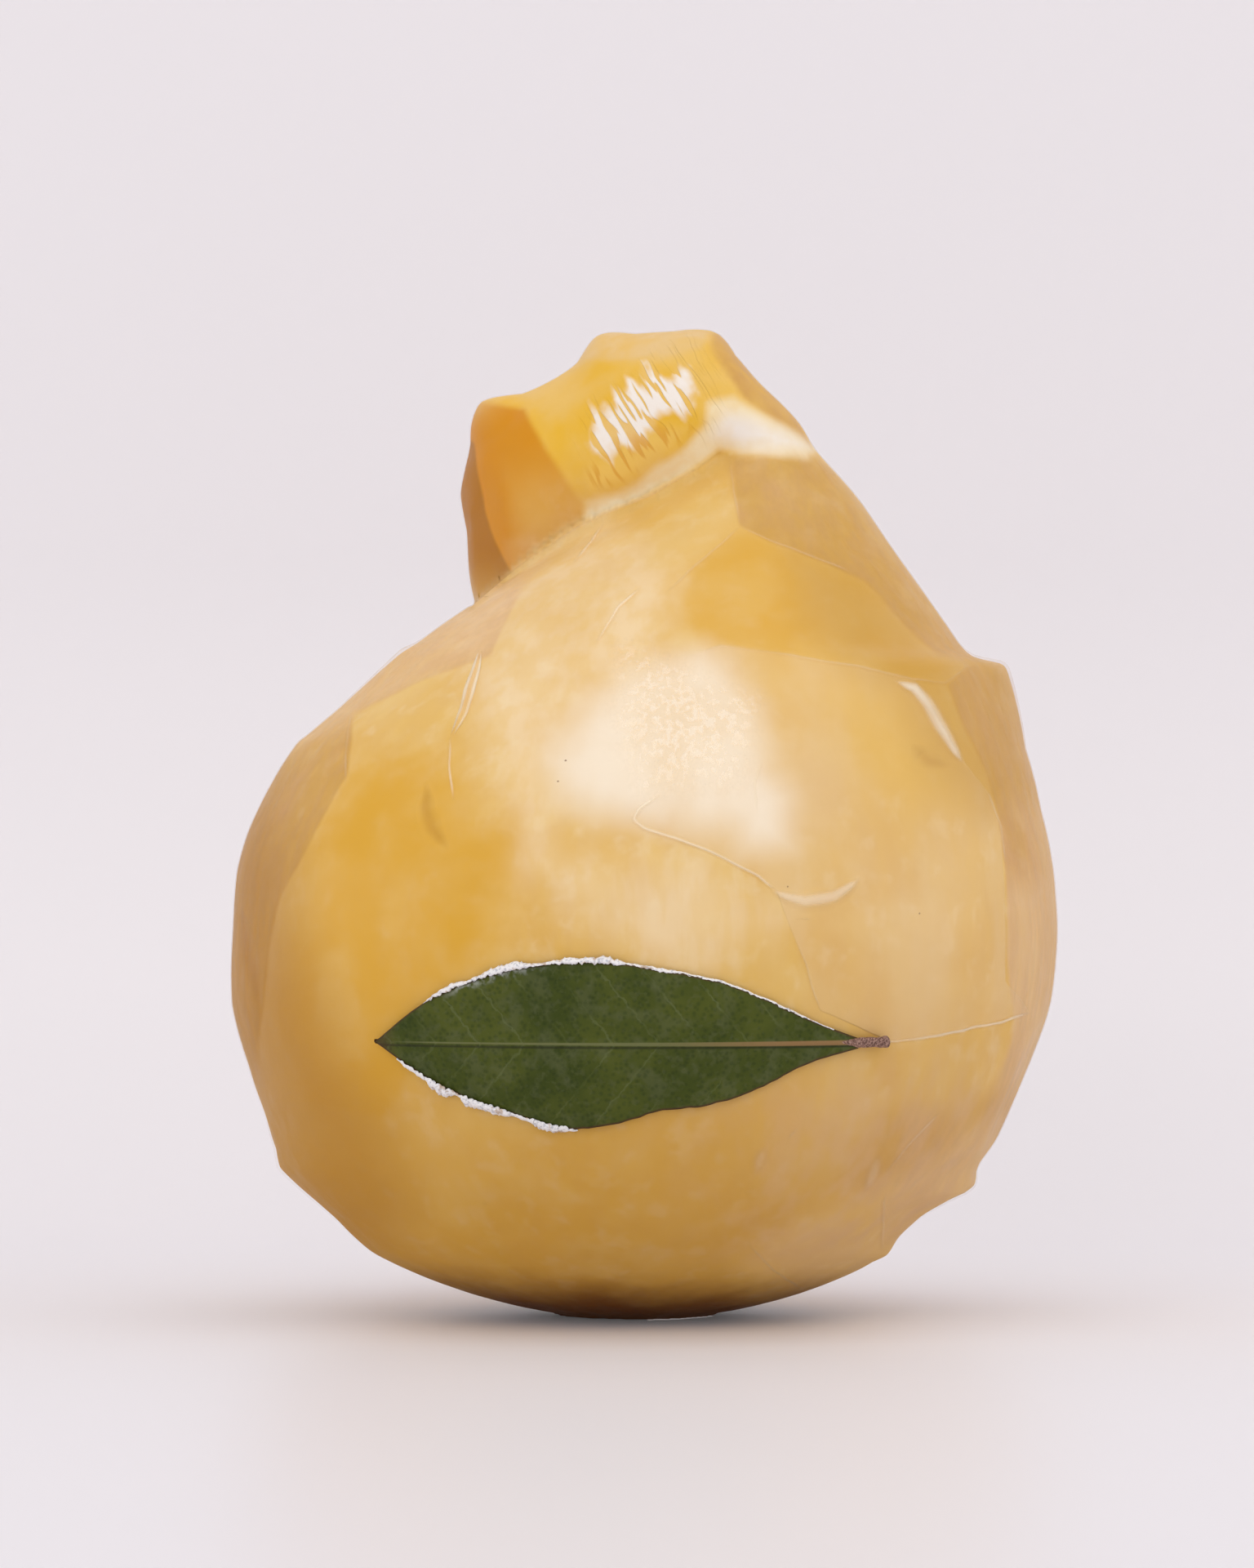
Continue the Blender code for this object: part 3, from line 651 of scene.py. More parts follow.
# %% Creases of film
CREASES_ONE = (
    ("crest", ((37.2, 93.6), (40.1, 92.6), (42.0, 90.2), (44.0, 86.7), (46.9, 81.6))),
    ("trace", ((12.5, 126.4), (13.2, 121.6), (14.0, 116.5))),
    ("trace", ((14.0, 116.2), (18.1, 114.2), (25.4, 111.4), (30.2, 109.6))),
    ("line", ((-6.2, 116.6), (-8.1, 113.8), (-10.6, 110.8))),
    ("pleat", ((-24.2, 98.2), (-25.5, 93.4), (-26.6, 89.1), (-28.6, 84.8))),
    ("trace", ((-43.3, 89.2), (-44.2, 83.1), (-44.0, 78.0))),
    ("dent", ((-59.8, 60.2), (-58.8, 53.6), (-56.8, 44.6))),
    ("line", ((2.2, 76.9), (-0.8, 74.8), (-1.5, 73.3), (0.1, 72.1), (4.9, 70.5), (9.7, 68.4), (16.9, 64.4),
              (19.8, 61.9))),
    ("line", ((34.4, 40.2), (41.0, 41.1), (47.0, 41.9), (52.5, 43.1), (56.7, 44.6))),
    ("flake", ((32.4, 18.0), (33.8, 21.0), (34.8, 24.2))),
    ("flake", ((16.4, 20.6), (17.4, 23.0), (18.6, 25.4))),
    ("trace", ((15.2, 11.0), (19.3, 6.6), (23.7, 3.5))),
    ("dent", ((-32.4, 78.0), (-32.6, 74.6), (-31.6, 71.6), (-29.4, 68.6))),
    ("trace", SHOULDER_RIM),
    ("line", ((-25.0, 122.6), (-23.6, 117.8), (-21.8, 113.4), (-19.6, 109.6))),
)
CREASES_TWO = (
    ("trace", ((50.4, 77.6), (52.5, 72.3), (53.1, 66.2))),
    ("dent", ((39.6, 84.2), (42.2, 81.9), (45.4, 81.2))),
    ("trace", ((14.0, 116.2), (10.9, 113.5), (7.3, 110.8), (3.1, 106.6))),
    ("line", ((-28.7, 85.0), (-28.9, 80.7), (-28.3, 75.9))),
    ("crest", ((18.6, 62.2), (23.6, 60.8), (27.8, 61.7), (31.9, 64.4))),
    ("trace", ((22.0, 55.4), (23.6, 51.8), (25.7, 45.0))),
    ("trace", ((35.4, 20.9), (39.2, 25.5), (43.7, 30.0))),
    ("trace", ((35.7, 18.3), (35.0, 13.2), (34.8, 9.2))),
    ("trace", ((8.3, 97.9), (11.5, 98.9), (14.5, 98.5), (19.3, 97.6), (26.6, 96.6), (31.4, 96.0),
               (39.8, 93.9), (44.6, 93.3), (48.2, 96.2))),
    ("line", ((21.0, 26.0), (22.6, 27.6))),
    ("trace", ((17.6, 82.0), (16.2, 78.2), (16.8, 73.8))),
    ("line", ((-6.9, 98.9), (-4.1, 104.6), (-0.8, 107.3))),
)
CREASES_BACK = (
    ("line", ((-30.0, 92.0), (-12.0, 93.5), (6.0, 96.0), (34.0, 84.0))),
    ("line", ((-8.0, 52.0), (-34.0, 66.0), (-70.0, 70.0))),
    ("pleat", ((22.0, 60.0), (30.0, 50.0), (40.0, 40.0))),
    ("line", ((-48.0, 32.0), (-18.0, 26.0), (-2.0, 12.0))),
    ("ridge", ((66.0, 100.0), (60.0, 84.0), (68.0, 70.0))),
    ("pleat", ((-60.0, 100.0), (-55.0, 88.0), (-46.0, 78.0))),
    ("ridge", ((40.0, 40.0), (52.0, 36.0), (60.0, 24.0))),
    ("dent", ((-14.0, 76.0), (2.0, 72.0), (14.0, 78.0))),
)

for layer, front, back in (("one", CREASES_ONE, CREASES_BACK), ("two", CREASES_TWO, ())):
    fields = zip(("crease", "rise", "shine", "open"), crease_layer(front, back))
    for field, values in fields:
        paint(f"{field}_{layer}", values)
print(len(CREASES_ONE) + len(CREASES_TWO) + len(CREASES_BACK), "creases")

# %% [markdown]
# The head was squeezed when it was folded. Where the head is on the skin is told by how near a point
# lies to a bent line through the head's middle, and by which side of the shoulder's rim it is on.

# %% Where the head is
HEAD_SPINE = ((12.0, 2.0, 135.0), (-2.0, 8.0, 130.0), (-12.0, 15.0, 123.0), (-20.0, 18.0, 116.0),
              (-23.0, 22.0, 105.0))
HEAD_REACH = (15.0, 20.0)
ABOVE_RIM = SHOULDER_RIM + ((18.0, 126.5), (27.0, 125.5), (60.0, 160.0), (-60.0, 160.0))


def spine_distance(points, spine):
    """Distance from each point to a line of points in space."""
    best = np.full(len(points), FAR)
    for a, b in zip(np.array(spine), np.array(spine)[1:]):
        way = b - a
        t = np.clip(((points - a) @ way) / (way @ way), 0, 1)
        best = np.minimum(best, np.linalg.norm(points - a - np.outer(t, way), axis=1))
    return best


near_rim = step(-0.4, 0.4, to_patch(front_map, ABOVE_RIM))
on_head = near_rim * (1 - behind) + step(100.0, 114.0, skin[:, 2]) * behind
head = (1 - step(*HEAD_REACH, spine_distance(skin, HEAD_SPINE))) * on_head
facing = 1 - step(6.0, 20.0, skin[:, 1])
paint("head", head)
print(f"the head takes {np.mean(head > 0.5):.0%} of the skin")

# %% [markdown]
# The head's left side is deep brown and amber, a painted highlight runs along the bend as a white band
# crossed by fine wrinkles, a painted highlight spot sits beside it at the neck, and a milky strip lies
# against the shoulder's rim. The wrinkles need a number that grows steadily across them, so that a
# material can cut it into lines.

# %% Fields on the head
BROWN_SIDE = ((-34.0, 140.0), (-25.2, 128.3), (-24.9, 124.1), (-23.7, 118.6), (-21.9, 113.8),
              (-19.8, 109.6), (-17.0, 104.0), (-34.0, 98.0))
AMBER_SIDE = ((-34.0, 137.0), (-24.0, 134.7), (-18.0, 133.9), (-14.2, 127.0), (-9.6, 119.6), (-9.0, 115.2),
              (-16.6, 111.6), (-21.0, 106.0), (-34.0, 98.0))
PALE_CHEEK = ((-21.0, 114.4), (-17.0, 115.8), (-13.8, 114.6), (-15.0, 112.4), (-19.2, 108.6),
              (-21.4, 110.8))
HIGHLIGHT_BAND = ((-7.4, 128.9), (-6.6, 132.3), (-3.5, 135.0), (0.1, 137.9), (3.4, 140.4), (6.1, 142.1),
               (8.5, 140.9), (9.2, 133.7), (8.1, 130.9), (3.7, 131.5), (-1.1, 130.3), (-4.2, 127.9))
AMBER_VALLEY = ((-8.6, 123.9), (-3.5, 129.3), (1.3, 131.1), (6.9, 131.0), (3.9, 127.5), (0.1, 125.7),
                (-2.9, 122.6), (-7.8, 121.4))
MILKY_STRIP = ((-9.2, 119.9), (-5.0, 120.9), (-1.4, 122.4), (1.3, 125.3), (5.2, 127.7), (8.3, 131.3),
               (8.7, 134.9), (13.3, 136.0), (18.1, 132.8), (22.4, 130.5), (26.4, 127.6), (24.2, 125.9),
               (18.0, 126.6), (10.9, 127.0), (4.3, 122.4), (-2.9, 118.8), (-9.4, 116.0))
HIGHLIGHT_SPOT = ((9.6, 129.2), (11.4, 133.4), (16.0, 132.4), (20.5, 130.5), (24.2, 128.0), (20.5, 127.4),
              (14.0, 127.6))
BEIGE_TOP = ((-7.0, 146.5), (10.0, 148.0), (9.4, 144.0), (8.4, 142.6), (2.5, 140.9), (-7.2, 141.2),
             (-10.5, 140.6))
BEIGE_EDGE = ((9.6, 147.0), (30.0, 128.0), (24.0, 127.5), (19.9, 130.9), (14.9, 135.4), (12.6, 138.6),
              (10.4, 142.0))
# the ring, and the distances from its edge at which the patch starts and is whole, in mm
HEAD_PATCHES = {
    "cheek": (PALE_CHEEK, -0.4, 1.6),
    "valley": (AMBER_VALLEY, -1.2, 1.6),
    "milky": (MILKY_STRIP, -0.5, 1.4),
    "beige_top": (BEIGE_TOP, -0.9, 0.7),
    "beige_edge": (BEIGE_EDGE, -0.6, 0.5),
}
WRINKLE_WAY = (0.87, 0.50)  # across the wrinkles, to the right and up
WRINKLE_STEP = 0.95  # from one wrinkle to the next, in mm
WRINKLE_LENGTH = 7.0  # how far one runs before it fades, in mm

for name, (ring, start, whole) in HEAD_PATCHES.items():
    paint(name, step(start, whole, to_patch(front_map, ring)) * facing * on_head)
# the white spot here and the band below are painted highlights
paint("highlight_spot", step(-1.4, 2.4, to_patch(front_map, HIGHLIGHT_SPOT)) * facing)
paint("brown_side", np.clip(to_patch(front_map, BROWN_SIDE), -EDGE_REACH, EDGE_REACH))
paint("amber_side", np.clip(to_patch(front_map, AMBER_SIDE), -EDGE_REACH, EDGE_REACH))
paint("highlight_band", np.clip(to_patch(front_map, HIGHLIGHT_BAND), -EDGE_REACH, EDGE_REACH) - 8 * (1 - facing))
across_wrinkles = np.array(WRINKLE_WAY)
along_wrinkles = np.array((-across_wrinkles[1], across_wrinkles[0]))
paint("wrinkle_phase", (front_map @ across_wrinkles) / WRINKLE_STEP)
paint("wrinkle_run", (front_map @ along_wrinkles) / WRINKLE_LENGTH)
print("head patches:", ", ".join(HEAD_PATCHES))

# %% [markdown]
# ## Film and cheese part company
# The film keeps the skin as it is. The cheese is a copy, moved in by a hair everywhere, and by more
# where the film stands off it, so that the film's free corners let a little light through.

# %% Cheese under the film
FILM_GAP = 0.14  # between film and cheese, in mm
FOOT_GAP = 0.15  # share of it that is left under the foot
# turn in degrees, height, retreat, spread in degrees, reach above and below, in mm
STAND_OFFS = (
    (-4.0, 96.2, 0.35, 24.0, 2.4, 14.0),
    (176.0, 21.6, 0.35, 24.0, 8.0, 12.0),
    (-4.0, 18.0, 0.25, 24.0, 3.5, 4.0),
    (-164.0, 98.2, 0.4, 18.0, 2.0, 10.0),
    (84.0, 90.0, 1.2, 26.0, 2.4, 18.0),
    (118.0, 14.0, 0.8, 24.0, 10.0, 5.0),
)

cheese = bpy.data.objects.new("provola_cheese", film.data.copy())
bpy.context.scene.collection.objects.link(cheese)
normals = np.empty(len(skin) * 3)
film.data.vertices.foreach_get("normal", normals)
normals = normals.reshape(-1, 3)
retreat = FILM_GAP * (FOOT_GAP + (1 - FOOT_GAP) * step(0.0, 3.0, skin[:, 2]))
for aside, upright, depth in spots(skin, STAND_OFFS):
    retreat = np.maximum(retreat, FILM_GAP + depth * np.clip(1 - aside**2, 0, 1) * upright)
move_points(cheese, skin - normals * retreat[:, None])
tell(cheese, f"up to {retreat.max():.1f} mm under the film")

# %% [markdown]
# ## Materials
# Small tools to build node trees in code: each adds a node, sets its plain values and links its inputs.
# A ramp is the one used most, a smooth step between two values of a number.


# %% Links and sums
class Links:
    """Adds nodes to a material or a node group, links them and reckons with them."""

    def __init__(self, tree):
        self.tree = tree

    def put(self, socket, value):
        if isinstance(value, bpy.types.NodeSocket):
            self.tree.links.new(value, socket)
        else:
            socket.default_value = value

    def node(self, kind, **inputs):
        made = self.tree.nodes.new(kind)
        for name, value in inputs.items():
            self.put(made.inputs[name.replace("_", " ")], value)
        return made

    def math(self, operation, a, b=0.0):
        made = self.tree.nodes.new("ShaderNodeMath")
        made.operation = operation
        self.put(made.inputs[0], a)
        self.put(made.inputs[1], b)
        return made.outputs[0]

    def times(self, *values):
        product = values[0]
        for value in values[1:]:
            product = self.math("MULTIPLY", product, value)
        return product

    def plus(self, *values):
        total = values[0]
        for value in values[1:]:
            total = self.math("ADD", total, value)
        return total

    def attribute(self, name):
        made = self.tree.nodes.new("ShaderNodeAttribute")
        made.attribute_name = name
        return made.outputs["Fac"]

    def ramp(self, value, low, high, to_low=0.0, to_high=1.0):
        made = self.tree.nodes.new("ShaderNodeMapRange")
        made.interpolation_type = "SMOOTHSTEP"
        numbers = {"Value": value, "From Min": low, "From Max": high, "To Min": to_low, "To Max": to_high}
        for key, number in numbers.items():
            self.put(made.inputs[key], number)
        return made.outputs["Result"]


print("links and sums ready")

# %% [markdown]
# Paint needs a little more: mixing two colours, laying colours over each other, noise, stretched noise,
# and a bump, which turns a height in millimetres into a normal.


# %% Paint
class Tree(Links):
    """Paints with nodes."""

    def blend(self, factor, a, b):
        made = self.tree.nodes.new("ShaderNodeMix")
        made.data_type = "RGBA"
        self.put(made.inputs["Factor"], factor)
        for socket, value in zip((made.inputs[6], made.inputs[7]), (a, b)):
            self.put(socket, (*value, 1.0) if isinstance(value, tuple) else value)
        return made.outputs[2]

    def noise(self, where, scale, detail=2.0, distortion=0.0):
        made = self.node("ShaderNodeTexNoise", Vector=where, Scale=scale, Detail=detail)
        made.inputs["Distortion"].default_value = distortion
        return made.outputs["Fac"]

    def stretched(self, where, turn, stretch):
        made = self.node("ShaderNodeMapping", Vector=where)
        made.inputs["Rotation"].default_value = [math.radians(angle) for angle in turn]
        made.inputs["Scale"].default_value = stretch
        return made.outputs["Vector"]

    def place(self):
        """Where a point is on the piece, in the piece's own coordinates."""
        return self.node("ShaderNodeTexCoord").outputs["Object"]

    def patch(self, name, *stain):
        """A painted patch, thinned by a ramp of some stain."""
        return self.times(self.attribute(name), self.ramp(*stain))

    def layered(self, colour, *layers):
        """Lays colours over a first one, each by its own factor."""
        for factor, over in layers:
            colour = self.blend(factor, colour, over)
        return colour

    def bump(self, height, strength=1.0):
        """A normal from a height in millimetres."""
        made = self.node("ShaderNodeBump", Height=height, Strength=strength, Distance=MM)
        return made.outputs["Normal"]

    def group(self, group, **inputs):
        made = self.tree.nodes.new("ShaderNodeGroup")
        made.node_tree = group
        for name, value in inputs.items():
            self.put(made.inputs[name.replace("_", " ")], value)
        return made.outputs


print("paint ready")

# %% [markdown]
# A material starts with its one main shader. Effects that several materials need become node groups,
# which only pass on numbers.


# %% New materials and groups
def new_material(name):
    """A material with nodes, its tree helper and its main shader."""
    made = bpy.data.materials.new(name)
    made.use_nodes = True
    return made, Tree(made.node_tree), made.node_tree.nodes["Principled BSDF"]


NUMBER, ARROW = "NodeSocketFloat", "NodeSocketVector"


def new_group(name, inputs, outputs):
    """A node group with these inputs that gives numbers, its inner tree, and its two ends."""
    group = bpy.data.node_groups.new(name, "ShaderNodeTree")
    for label, kind in inputs.items():
        group.interface.new_socket(label, in_out="INPUT", socket_type=kind)
    for label in outputs:
        group.interface.new_socket(label, in_out="OUTPUT", socket_type=NUMBER)
    given, result = group.nodes.new("NodeGroupInput"), group.nodes.new("NodeGroupOutput")
    return group, Tree(group), given.outputs, result.inputs


print("material helpers ready")

# %% [markdown]
# Two shared effects. Clouds are stains at three sizes. A crease turns a distance into a small
# flat-topped ridge whose two edges are painted pale, partly as folded film and partly as a painted
# highlight, or into a single thread where it doesn't open. A negative paleness paints a dent's shade.

# %% Clouds and creases
clouds_group, inner, given, result = new_group(
    "clouds", {"Vector": ARROW, "Scale": NUMBER}, ("Broad", "Patchy", "Fine")
)
for label, factor, detail in (("Broad", 1.0, 3.0), ("Patchy", 2.8, 4.0), ("Fine", 9.0, 4.0)):
    size = inner.times(given["Scale"], factor)
    inner.put(result[label], inner.noise(given["Vector"], size, detail, 0.15))

crease_group, inner, given, result = new_group(
    "crease", dict.fromkeys(("Distance", "Rise", "Shine", "Open"), NUMBER), ("Height", "Pale")
)
away = inner.math("ABSOLUTE", given["Distance"])
top = inner.times(given["Open"], 0.5)
inner.put(result["Height"], inner.times(inner.ramp(away, 1.4, top), given["Rise"]))
thread = inner.ramp(away, 1.0, 0.0)
two_threads = inner.times(inner.ramp(away, 1.35, 0.9), inner.ramp(away, 0.25, 0.8, 0.25, 1.0))
shape = inner.plus(thread, inner.times(given["Open"], inner.math("SUBTRACT", two_threads, thread)))
inner.put(result["Pale"], inner.times(shape, given["Shine"]))

print("groups:", clouds_group.name, crease_group.name)

# %% [markdown]
# Film relief adds up all that the film does to the surface. The film and the cheese under it both use
# it, so that their creases and highlights agree. Folds are the creases, patch edges and wrinkles alone,
# and Height adds the slow swells of the cheese itself.

# %% Film relief
relief_group, inner, given, result = new_group(
    "film_relief", {"Vector": ARROW},
    ("Folds", "Height", "Haze", "Pale", "Line", "Streaks", "Wrinkles", "Uneven")
)
where = given["Vector"]
streaks = inner.noise(inner.stretched(where, (0, 42, 0), (1.0, 1.0, 0.16)), 420.0, 3.0)
haze = inner.ramp(inner.math("DIVIDE", inner.attribute("haze_edge"), inner.attribute("haze_blur")), -1.0, 1.0)
pale = inner.ramp(inner.math("DIVIDE", inner.attribute("pale_edge"), inner.attribute("pale_blur")), -1.0, 1.0)
lines, heights = [], []
for n in ("one", "two"):
    crease = inner.group(
        crease_group, Distance=inner.attribute("crease_" + n), Rise=inner.attribute("rise_" + n),
        Shine=inner.attribute("shine_" + n), Open=inner.attribute("open_" + n)
    )
    lines.append(crease["Pale"])
    heights.append(crease["Height"])
broken = inner.ramp(inner.noise(where, 75.0, 2.0), 0.40, 0.58, 0.60, 1.0)
phase = inner.plus(inner.attribute("wrinkle_phase"), inner.times(inner.noise(where, 130.0, 1.0), 1.6))
thread = inner.node("ShaderNodeCombineXYZ", X=phase, Y=inner.attribute("wrinkle_run")).outputs["Vector"]
uneven = inner.noise(thread, 0.42, 1.0)
wrinkles = inner.ramp(inner.noise(thread, 0.95, 1.0), 0.50, 0.60)
zone = inner.ramp(inner.attribute("highlight_band"), -4.5, -0.5)
folds = inner.plus(
    *heights, inner.times(haze, 0.08), inner.times(pale, 0.08), inner.times(wrinkles, zone, -0.10)
)
swells = inner.plus(
    inner.times(inner.noise(where, 60.0, 2.0), 0.9),
    inner.times(inner.noise(where, 170.0, 2.0), 0.22),
    inner.times(inner.noise(where, 520.0, 2.0), 0.06)
)
outcome = {
    "Folds": folds, "Height": inner.plus(folds, swells), "Haze": haze, "Pale": pale,
    "Line": inner.times(inner.plus(*lines), broken),
    "Streaks": streaks, "Wrinkles": wrinkles, "Uneven": uneven,
}
for label, value in outcome.items():
    inner.put(result[label], value)
print("group:", relief_group.name)

# %% [markdown]
# The cheese's own colour is a warm smoked yellow with broad stains. The amber places are deeper. The
# underside is painted browner as shade, and the foot nearly black-brown as painted shade where it meets
# the table. Colours are kept as the share of red, green and blue light that each one sends back.

# %% Colours of the cheese
CURD = (0.860, 0.600, 0.225)
SMOKE = (0.780, 0.475, 0.120)
GOLD = (0.830, 0.520, 0.100)
AMBER = (0.770, 0.420, 0.035)
TOP_PAINTED_SHADE = (0.740, 0.450, 0.120)
UNDERSIDE_SHADE = (0.530, 0.262, 0.022)
SPECK_BROWN_AND_FOOT_SHADE = (0.140, 0.028, 0.001)
HAZE_GOLD_AND_SHADE = (0.610, 0.345, 0.075)
HAZE_PINK = (0.650, 0.375, 0.170)
PALE_CREAM = (0.820, 0.578, 0.285)
LIT_CREAMY_CURD = (0.940, 0.730, 0.440)
GLOW_HIGHLIGHT = (0.980, 0.870, 0.700)
HAZE_LIT = (0.830, 0.590, 0.350)
GRAZED = (0.700, 0.450, 0.235)
SHADE_BROWN = (0.500, 0.245, 0.045)
HEAD_GOLD = (0.870, 0.510, 0.040)
VALLEY_GOLD = (0.900, 0.580, 0.120)
HEAD_AMBER = (0.690, 0.268, 0.004)
HEAD_BROWN_AND_DENT_SHADE = (0.410, 0.160, 0.010)
HEAD_BEIGE = (0.660, 0.360, 0.095)
TOP_BEIGE = (0.840, 0.590, 0.270)
CREAM = (0.950, 0.790, 0.500)
HIGHLIGHT_WHITE = (0.970, 0.915, 0.850)

print("palette ready")

# %% [markdown]
# The belly is painted as by hand, in thin layers from the ground up: first curd over smoke, then
# brushed stains, fibres, and the painted patches, among them a painted shade near the top, curd painted
# paler round the highlight, and a painted highlight. Each layer is a factor and a colour. Stretched noise
# gives the brushed look, since smoke and drawing leave marks that run down the cheese.

# %% Belly
smoked, tree, shader = new_material("smoked_cheese")
place = tree.place()
clouds = tree.group(clouds_group, Vector=place, Scale=30.0)
relief = tree.group(relief_group, Vector=place)
broad, patchy, fine = clouds["Broad"], clouds["Patchy"], clouds["Fine"]
apart = tree.node("ShaderNodeSeparateXYZ", Vector=place).outputs
height_mm = tree.times(apart["Z"], 1 / MM)
across_mm = tree.times(apart["X"], 1 / MM)
brushed = tree.noise(tree.stretched(place, (0, -14, 0), (1.0, 1.0, 0.28)), 75.0, 3.0)
fibres = tree.noise(tree.stretched(place, (0, 32, 0), (1.0, 1.0, 0.24)), 330.0, 3.0)

colour = tree.layered(
    SMOKE,
    (tree.ramp(patchy, 0.36, 0.62), CURD),
    (tree.ramp(broad, 0.45, 0.70, 0.0, 0.5), GOLD),
    (tree.ramp(brushed, 0.40, 0.62, 0.0, 0.55), SMOKE),
    # partly painted light: the curd round the highlight is painted paler
    (tree.patch("creamy_lit", brushed, 0.35, 0.65, 0.85, 0.45), LIT_CREAMY_CURD),
    (tree.ramp(fine, 0.50, 0.72, 0.0, 0.26), CREAM),
    (tree.ramp(fibres, 0.38, 0.62, 0.28, 0.0), GOLD),
    # painted shade: the top of the belly is darkened a little
    (tree.ramp(height_mm, 92.0, 118.0, 0.0, 0.26), TOP_PAINTED_SHADE),
    (tree.patch("amber", patchy, 0.3, 0.7, 1.0, 0.55), AMBER),
    (tree.times(relief["Pale"], tree.ramp(brushed, 0.35, 0.65, 0.70, 0.20)), PALE_CREAM),
    # painted highlight: the bloom high on the belly, in milky film
    (tree.patch("highlight_bloom", brushed, 0.35, 0.65, 1.0, 0.70), GLOW_HIGHLIGHT),
)
print("belly painted")

# %% [markdown]
# Haze tints the cheese under doubled film: golden on the left, pinker on the right, and painted pale, as
# if lit, in a few places. Then come painted shade and streaks: a browner underside painted as shade,
# grazed streaks low on the right, and the foot, painted nearly black-brown as shade, whose edge is made
# ragged by adding a stain to the height before it is cut.

# %% Haze, shade and foot
pinkness = tree.plus(patchy, tree.ramp(across_mm, 30.0, 58.0, -0.12, 0.12))
# painted light: lit_haze makes the haze paler, as if lit
lit = tree.attribute("lit_haze")
haze_colour = tree.layered(
    HAZE_GOLD_AND_SHADE, (tree.ramp(pinkness, 0.38, 0.66), HAZE_PINK), (tree.times(lit, 0.85), HAZE_LIT)
)
haze = tree.times(relief["Haze"], tree.attribute("haze_depth"), tree.ramp(fine, 0.30, 0.70, 0.72, 0.56))
not_lit = tree.math("SUBTRACT", 1.0, tree.times(lit, 0.7))
grazes = tree.noise(tree.stretched(place, (0, 42, 0), (1.0, 1.0, 0.18)), 260.0, 2.0)
grazed = tree.times(
    tree.ramp(across_mm, -5.0, 30.0), tree.ramp(height_mm, 50.0, 28.0),
    tree.ramp(grazes, 0.36, 0.68, 0.22, 0.62), tree.ramp(height_mm, 6.0, 14.0)
)
ragged_height = tree.plus(height_mm, tree.times(patchy, 5.0))
colour = tree.layered(
    colour,
    (haze, haze_colour),
    (tree.patch("golden", brushed, 0.35, 0.65, 0.35, 0.75), GOLD),
    # painted shade: the shaded and shaded_left patches darken the haze
    (tree.times(tree.attribute("shaded"), 0.60), HAZE_GOLD_AND_SHADE),
    (tree.times(tree.attribute("shaded_left"), 0.80), SHADE_BROWN),
    # painted shade: the underside is darkened
    (tree.times(tree.ramp(height_mm, 62.0, 14.0, 0.0, 0.55), not_lit), UNDERSIDE_SHADE),
    (grazed, GRAZED),
    # painted shade: the foot is darkened nearly black where it meets the table
    (tree.ramp(ragged_height, 12.0, 3.6, 0.0, 0.92), SPECK_BROWN_AND_FOOT_SHADE),
)
print("haze and shade painted")

# %% [markdown]
# The head gets its own colours from the fields painted on it. The white band is a painted highlight, cut
# into slanting marks: uneven noise eats its edge and the wrinkles open it, as light does on squeezed film.

# %% Head
head_mask = tree.attribute("head")
amber_side = tree.ramp(tree.attribute("amber_side"), -0.8, 0.6, 0.0, 0.95)
head_colour = tree.layered(
    HEAD_GOLD,
    (tree.ramp(patchy, 0.35, 0.65, 0.0, 0.5), CURD),
    (tree.times(amber_side, tree.ramp(broad, 0.3, 0.7, 1.0, 0.8)), HEAD_AMBER),
    (tree.ramp(tree.attribute("brown_side"), -0.3, 0.3, 0.0, 0.8), HEAD_BROWN_AND_DENT_SHADE),
    (tree.patch("beige_edge", fine, 0.3, 0.7, 0.9, 0.5), HEAD_BEIGE),
    (tree.patch("beige_top", fine, 0.3, 0.7, 0.9, 0.5), TOP_BEIGE),
)
wrinkled_amber = tree.blend(tree.times(relief["Wrinkles"], 0.60), VALLEY_GOLD, HEAD_AMBER)
ragged = tree.plus(
    tree.attribute("highlight_band"), tree.times(relief["Uneven"], 9.0), tree.times(fine, 4.0),
    tree.ramp(across_mm, -1.0, 6.0, 1.2, -1.6)
)
highlight_band = tree.times(tree.ramp(ragged, 5.6, 8.6), tree.ramp(relief["Wrinkles"], 0.25, 0.9, 0.98, 0.12))
colour = tree.layered(
    colour,
    (head_mask, head_colour),
    (tree.times(tree.attribute("cheek"), 0.10), CREAM),
    (tree.times(tree.attribute("valley"), 0.85), wrinkled_amber),
    (tree.patch("milky", fine, 0.3, 0.6, 0.75, 1.0), CREAM),
    # painted highlight: the white band and the white spot on the head
    (highlight_band, HIGHLIGHT_WHITE),
    (tree.patch("highlight_spot", fine, 0.3, 0.6, 0.7, 0.95), HIGHLIGHT_WHITE),
)
print("head painted")

# %% [markdown]
# A few dark specks and a painted shade on the dark side of the dents finish the colour. The gloss is a
# clear coat, as of film that lies tight on the skin. It is weak on the underside, under haze and on the
# head, where the film stands off or is squeezed dull.

# %% Specks and gloss
cells = tree.node("ShaderNodeTexVoronoi", Vector=place, Scale=190.0)
specks = tree.times(tree.ramp(cells.outputs["Distance"], 0.042, 0.024), tree.ramp(fine, 0.55, 0.60))
